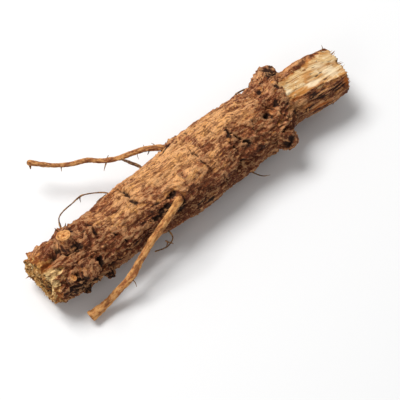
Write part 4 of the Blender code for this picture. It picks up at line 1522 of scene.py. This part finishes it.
# %% Noise along the grain, as a group
def grain_group():
    """Noise between 0 and 1 whose lengths along and across the grain are given in mm."""
    tree, given, result = new_group(
        "grain_noise",
        (
            ("Along", "NodeSocketFloat", 5.0),
            ("Across", "NodeSocketFloat", 1.0),
            ("Detail", "NodeSocketFloat", 3.0),
            ("Seed", "NodeSocketFloat", 0.0),
            ("Curl", "NodeSocketFloat", 0.0),
        ),
        (("Value", "NodeSocketFloat"),),
    )
    grain = tree.nodes.new("ShaderNodeAttribute")
    grain.attribute_name = "grain"
    lengths = tree.nodes.new("ShaderNodeCombineXYZ")
    tree.links.new(given.outputs["Along"], lengths.inputs["X"])
    tree.links.new(given.outputs["Across"], lengths.inputs["Y"])
    tree.links.new(given.outputs["Across"], lengths.inputs["Z"])
    divide = tree.nodes.new("ShaderNodeVectorMath")
    divide.operation = "DIVIDE"
    tree.links.new(grain.outputs["Vector"], divide.inputs[0])
    tree.links.new(lengths.outputs["Vector"], divide.inputs[1])
    shift = tree.nodes.new("ShaderNodeVectorMath")
    shift.operation = "ADD"
    tree.links.new(divide.outputs["Vector"], shift.inputs[0])
    tree.links.new(given.outputs["Seed"], shift.inputs[1])
    texture = tree.nodes.new("ShaderNodeTexNoise")
    texture.inputs["Scale"].default_value = 1.0
    tree.links.new(shift.outputs["Vector"], texture.inputs["Vector"])
    tree.links.new(given.outputs["Detail"], texture.inputs["Detail"])
    tree.links.new(given.outputs["Curl"], texture.inputs["Distortion"])
    tree.links.new(texture.outputs["Fac"], result.inputs["Value"])
    return tree


GRAIN = grain_group()
print("group", GRAIN.name, "has", len(GRAIN.interface.items_tree), "sockets")

# %% A shift from one colour to another, as a group
def tint_group():
    """Shifts a colour towards another where a value is high."""
    tree, given, result = new_group(
        "tint",
        (
            ("Color", "NodeSocketColor", (0.5, 0.5, 0.5, 1)),
            ("Tint", "NodeSocketColor", (0.2, 0.2, 0.2, 1)),
            ("Value", "NodeSocketFloat", 0.5),
            ("Low", "NodeSocketFloat", 0.4),
            ("High", "NodeSocketFloat", 0.6),
            ("Amount", "NodeSocketFloat", 1.0),
        ),
        (("Color", "NodeSocketColor"),),
    )
    ramp = tree.nodes.new("ShaderNodeMapRange")
    ramp.interpolation_type = "SMOOTHSTEP"
    tree.links.new(given.outputs["Value"], ramp.inputs["Value"])
    tree.links.new(given.outputs["Low"], ramp.inputs["From Min"])
    tree.links.new(given.outputs["High"], ramp.inputs["From Max"])
    share = add_math(tree, "MULTIPLY", ramp.outputs["Result"], given.outputs["Amount"])
    mixed = add_mix(tree, share, given.outputs["Color"], given.outputs["Tint"])
    tree.links.new(mixed, result.inputs["Color"])
    return tree


TINT = tint_group()
print("group", TINT.name, "has", len(TINT.interface.items_tree), "sockets")

# %% The groups placed in a material
def grain_noise(tree, along, across, detail, seed, curl=0.0):
    """The grain noise group placed in a material; returns its value."""
    node = tree.nodes.new("ShaderNodeGroup")
    node.node_tree = GRAIN
    feed(tree, node.inputs, (along, across, detail, seed, curl))
    return node.outputs["Value"]


def tint(tree, color, towards, value, low, high, amount=1.0):
    """The tint group placed in a material; returns the new colour."""
    node = tree.nodes.new("ShaderNodeGroup")
    node.node_tree = TINT
    feed(tree, node.inputs, (color, towards, value, low, high, amount))
    return node.outputs["Color"]


def mark_value(tree, mark):
    """The value of a mark that is stored on the mesh."""
    node = tree.nodes.new("ShaderNodeAttribute")
    node.attribute_name = mark
    return node.outputs["Fac"]


def new_material(name, roughness):
    """A material with its node tree and its main shader."""
    material = bpy.data.materials.new(name)
    material.use_nodes = True
    shader = material.node_tree.nodes["Principled BSDF"]
    shader.inputs["Roughness"].default_value = roughness
    shader.inputs["Specular IOR Level"].default_value = 0.25
    return material, material.node_tree, shader


def add_bump(tree, shader, height, distance):
    """Fine relief that is too small for the mesh."""
    bump = tree.nodes.new("ShaderNodeBump")
    bump.inputs["Distance"].default_value = distance
    tree.links.new(height, bump.inputs["Height"])
    tree.links.new(bump.outputs["Normal"], shader.inputs["Normal"])


# %% A material from rows of numbers
def named_noises(tree, rows):
    """The noises of a material by name; a row is length along, length across, detail, seed and curl."""
    return {name: grain_noise(tree, *row) for name, row in rows.items()}


def tinted(tree, color, values, rows):
    """A colour after row upon row of tints.

    A row names the noise or the mark that decides. Then come the red, green and blue of the tint, where it
    begins, where it is full, and how strong it is.
    """
    for source, red, green, blue, low, high, amount in rows:
        if source not in values:
            values[source] = mark_value(tree, source)
        color = tint(tree, color, linear(red, green, blue), values[source], low, high, amount)
    return color


def relief_of(tree, values, rows):
    """A sum of noises for the bump; a row is the name of a noise and its weight."""
    relief = 0.0
    for source, weight in rows:
        relief = add_math(tree, "ADD", relief, add_math(tree, "MULTIPLY", values[source], weight))
    return relief


def grown_material(name, roughness, base, noises, tints, reliefs, depth):
    """A material from its rows; depth is how deep the bump is, in mm."""
    material, tree, shader = new_material(name, roughness)
    values = named_noises(tree, noises)
    tree.links.new(tinted(tree, linear(*base), values, tints), shader.inputs["Base Color"])
    add_bump(tree, shader, relief_of(tree, values, reliefs), depth * MM)
    return material


# %% [markdown]
# ## The finish of the bark
# A colour that is painted over another wherever a noise or a mark is high, again and again, gives what
# old bark shows: ochre skin with rosy and brown clouds, then the brown outer layer, then red-brown painted
# shade over the front and underside with some damp, streaks, pale flecks that are a painted highlight on
# the raised specks, painted shade in low places and hollows, painted shadow under the stubs and rootlets,
# and dark spots. The order counts, because a later row lies on top. Skin and outer layer differ in
# hue too, so the outer colour is mixed first.

# %% The bark
BARK_NOISES = {
    "broad": (12, 6, 2, 1.0),
    "hue": (3.4, 2.0, 3, 5.0, 0.8),
    "patches": (3.0, 1.3, 4, 9.0, 0.8),
    "streaks": (3.6, 0.65, 4, 17.0, 0.6),
    "flecks": (1.2, 0.55, 4, 29.0, 1.5),
    "crumbs": (0.8, 0.5, 3, 37.0, 0.8),
    "rosy": (6.5, 3.2, 3, 61.0, 0.6),
}
SKIN_TINTS = (
    ("hue", 222, 154, 108, 0.42, 0.58, 1.0),
    ("broad", 180, 102, 46, 0.42, 0.62, 0.7),
    ("rosy", 186, 122, 94, 0.50, 0.62, 0.55),
    ("fresh", 240, 180, 114, 0.1, 0.9, 0.55),
    ("pale", 238, 178, 110, 0.1, 0.9, 0.80),
    ("patches", 160, 88, 40, 0.50, 0.64, 0.60),
)
SURFACE_TINTS = (
    # red-brown painted shade over the front and underside, with some damp
    ("shade_and_damp", 92, 32, 3, 0.2, 1.0, 0.78),
    ("streaks", 92, 42, 16, 0.52, 0.68, 0.72),
    # the flecks and crumbs also make the bump, so the pale fleck row is a painted highlight on its raised
    # specks and the dark fleck and crumb rows painted shade in its dips
    ("flecks", 246, 184, 126, 0.53, 0.65, 0.56),
    ("flecks", 70, 32, 16, 0.45, 0.34, 0.72),
    ("crumbs", 56, 26, 14, 0.57, 0.66, 0.65),
    # painted shade in the low places of the relief, then a painted highlight on the raised ones
    ("low", 84, 38, 14, 0.58, 1.0, 0.55),
    ("low", 242, 186, 130, 0.38, 0.0, 0.35),
    ("stain", 206, 112, 38, 0.2, 0.9, 0.75),
    # nearly black: painted shade in cracks, pits and the trough, painted shadow under stubs and rootlets, and
    # a few dark spots
    ("dark", 34, 16, 8, 0.14, 0.80, 0.92),
    # painted shade in the seam's groove
    ("seam", 84, 34, 14, 0.15, 0.8, 0.75),
)
BARK_SKIN = linear(220, 146, 70)
BROWN_LAYER, TAN_LAYER = linear(114, 55, 35), linear(152, 82, 43)


def bark_material():
    """Ochre bark under the rests of a brown outer layer, with painted shade in its hollows and on its shaded
    side.
    """
    material, tree, shader = new_material("bark", 0.80)
    values = named_noises(tree, BARK_NOISES)
    color = tinted(tree, BARK_SKIN, values, SKIN_TINTS)
    outer = add_mix(tree, add_range(tree, values["hue"], 0.38, 0.58), BROWN_LAYER, TAN_LAYER)
    color = tint(tree, color, outer, mark_value(tree, "worn"), 0.10, 0.80, 0.95)
    color = tinted(tree, color, values, SURFACE_TINTS)
    tree.links.new(color, shader.inputs["Base Color"])
    relief = relief_of(tree, values, (("streaks", 1.0), ("flecks", 1.2), ("crumbs", -0.6)))
    calm = add_math(tree, "SUBTRACT", 1.0, add_math(tree, "MULTIPLY", values["fresh"], 0.5))
    add_bump(tree, shader, add_math(tree, "MULTIPLY", relief, calm), 0.65 * MM)
    return material


BARK = bark_material()
print("the bark has", len(BARK.node_tree.nodes), "nodes")

# %% [markdown]
# ## The finish of the wood
# Split wood is cream with long ochre strands, and the longer its noise, the straighter it looks. Torn
# ends show cut fibres, so their noise is short and mixes pale with dark. A cut face is warm and pale,
# with a darker ring.

# %% Bare, torn and cut wood
BARE_WOOD = grown_material(
    "bare_wood",
    0.62,
    (226, 188, 132),
    {
        "broad": (15, 3.2, 3, 3.0, 0.5),
        "strands": (14, 0.9, 4, 11.0, 0.3),
        "fine": (5, 0.35, 3, 19.0),
        "specks": (2.0, 0.7, 2, 31.0, 0.8),
        "clouds": (3.2, 2.0, 4, 53.0, 1.0),
    },
    (
        ("broad", 204, 146, 80, 0.44, 0.62, 0.95),
        ("clouds", 242, 220, 182, 0.52, 0.64, 0.6),
        ("clouds", 188, 128, 66, 0.44, 0.34, 0.6),
        ("strands", 240, 214, 172, 0.46, 0.36, 0.5),
        ("strands", 168, 108, 50, 0.54, 0.70, 0.85),
        ("fine", 150, 98, 50, 0.54, 0.72, 0.6),
        ("specks", 84, 46, 20, 0.62, 0.71, 0.85),
        ("pale", 250, 231, 196, 0.15, 0.9, 0.7),
        ("stain", 196, 128, 58, 0.1, 0.9, 0.75),
        ("dark", 84, 48, 20, 0.2, 0.8, 0.85),
        # painted shade in the seam's groove
        ("seam", 84, 34, 14, 0.25, 0.9, 0.85),
    ),
    (("strands", 1.0), ("fine", 0.5)),
    0.6,
)
TORN_WOOD = grown_material(
    "torn_wood",
    0.85,
    (216, 158, 86),
    {
        "broad": (6, 3.2, 3, 5.0),
        "fibres": (2.8, 1.5, 4, 13.0, 0.8),
        "fine": (1.2, 0.7, 4, 23.0, 0.6),
    },
    (
        ("broad", 166, 104, 46, 0.40, 0.60, 1.0),
        ("pale", 246, 210, 148, 0.1, 0.8, 0.9),
        ("fibres", 88, 50, 18, 0.50, 0.66, 0.78),
        # the fine noise also makes the bump: its pale row is a painted highlight on raised specks, its dark
        # row painted shade in the dips
        ("fine", 238, 202, 136, 0.53, 0.66, 0.70),
        ("fine", 72, 38, 12, 0.44, 0.34, 0.68),
        ("stain", 132, 66, 26, 0.1, 0.7, 0.85),
        # painted shade in the end faces' hollows and low parts
        ("dark", 40, 18, 10, 0.2, 0.9, 0.9),
    ),
    (("fine", 1.0),),
    0.7,
)
CUT_WOOD = grown_material(
    "cut_wood",
    0.7,
    (226, 164, 98),
    {
        "broad": (2.5, 1.6, 3, 41.0, 0.5),
        "fine": (0.8, 0.5, 3, 47.0, 0.6),
    },
    (
        ("broad", 204, 130, 66, 0.42, 0.62, 1.0),
        # the fine noise also makes the bump: its pale row is a painted highlight on raised specks, its dark
        # row painted shade in the dips
        ("fine", 244, 204, 148, 0.56, 0.70, 0.5),
        ("fine", 140, 76, 30, 0.44, 0.32, 0.6),
        ("dark", 120, 62, 22, 0.05, 0.45, 0.9),
    ),
    (("fine", 1.0),),
    0.5,
)
print("wood finishes", [material.name for material in (BARE_WOOD, TORN_WOOD, CUT_WOOD)])

# %% [markdown]
# ## The finish of the rootlets
# Rootlets have a skin like the bark's, only thinner and more even. The thick one is golden, the long one
# redder and the wires nearly brown, so one function makes all three from a light colour, a brown and a
# dark.

# %% The skin of the rootlets
ROOTLET_NOISES = {
    "broad": (4, 1.4, 3, 7.0),
    "creases": (1.3, 0.5, 4, 15.0, 0.6),
    "flecks": (0.9, 0.5, 3, 27.0, 0.8),
}


def rootlet_material(name, light, brown, dark):
    """The skin of a rootlet: lengthwise streaks, darker creases, painted shade in its low places with a
    painted highlight on its knots, and a darker end.
    """
    tints = (
        ("broad", *brown, 0.42, 0.64, 0.9),
        ("creases", *dark, 0.54, 0.74, 0.6),
        ("flecks", 238, 186, 128, 0.56, 0.72, 0.45),
        # painted shade in the low places, then a painted highlight on the knots
        ("low", *dark, 0.60, 1.0, 0.5),
        ("low", 232, 180, 116, 0.40, 0.0, 0.4),
        # the end rows darker: painted shade inside the hollow broken end
        ("inner", 58, 30, 14, 0.2, 0.8, 0.85),
    )
    return grown_material(name, 0.72, light, ROOTLET_NOISES, tints, (("creases", 1.0),), 0.35)


GOLDEN_SKIN = rootlet_material("golden_rootlet", (204, 142, 80), (160, 92, 46), (86, 44, 22))
REDDISH_SKIN = rootlet_material("reddish_rootlet", (190, 130, 74), (142, 78, 40), (76, 36, 18))
DARK_SKIN = rootlet_material("dark_rootlet", (120, 84, 56), (92, 60, 38), (50, 30, 18))
print("rootlet finishes", [material.name for material in (GOLDEN_SKIN, REDDISH_SKIN, DARK_SKIN)])

# %% [markdown]
# ## Each face gets its material
# The body is one mesh with three materials. A face takes bare wood where the split has bared it, torn
# wood where the bark has broken back and on the two end faces, and bark everywhere else.

# %% Each face gets its material
def dress_body(piece, bare_at, torn_at):
    """Gives the body's faces bark, bare wood or torn wood; returns how many have each."""
    for material in (BARK, BARE_WOOD, TORN_WOOD):
        piece.data.materials.append(material)
    rows, sides = bare_at.shape
    is_bare = (bare_at[:-1] + bare_at[1:]) / 2 > 0.5
    is_torn = (torn_at[:-1] + torn_at[1:]) / 2 > 0.5
    kinds = np.where(is_bare, 1, np.where(is_torn, 2, 0))
    kinds[: FACE_RINGS - 1] = 2
    kinds[rows - FACE_RINGS :] = 2
    caps = np.full(2 * sides, 2)
    indices = np.concatenate([kinds.reshape(-1), caps]).astype(np.int32)
    piece.data.polygons.foreach_set("material_index", indices)
    return np.bincount(indices)


face_counts = dress_body(body, body_marks["bare"], body_marks["torn"])
print("faces of bark, bare wood and torn wood", face_counts.tolist())

# %% The other pieces get theirs
for piece in stubs:
    piece.data.materials[0] = BARK
    piece.data.materials[1] = CUT_WOOD
loose_flakes.data.materials.append(BARK)
for piece in (lower_fibres, upper_fibres):
    piece.data.materials.append(TORN_WOOD)
thick_rootlet.data.materials.append(GOLDEN_SKIN)
long_rootlet.data.materials.append(REDDISH_SKIN)
for piece in wires + spurs:
    piece.data.materials.append(DARK_SKIN)
print("pieces with one finish", len(wires + spurs) + 5, "and", len(stubs), "stubs with two")
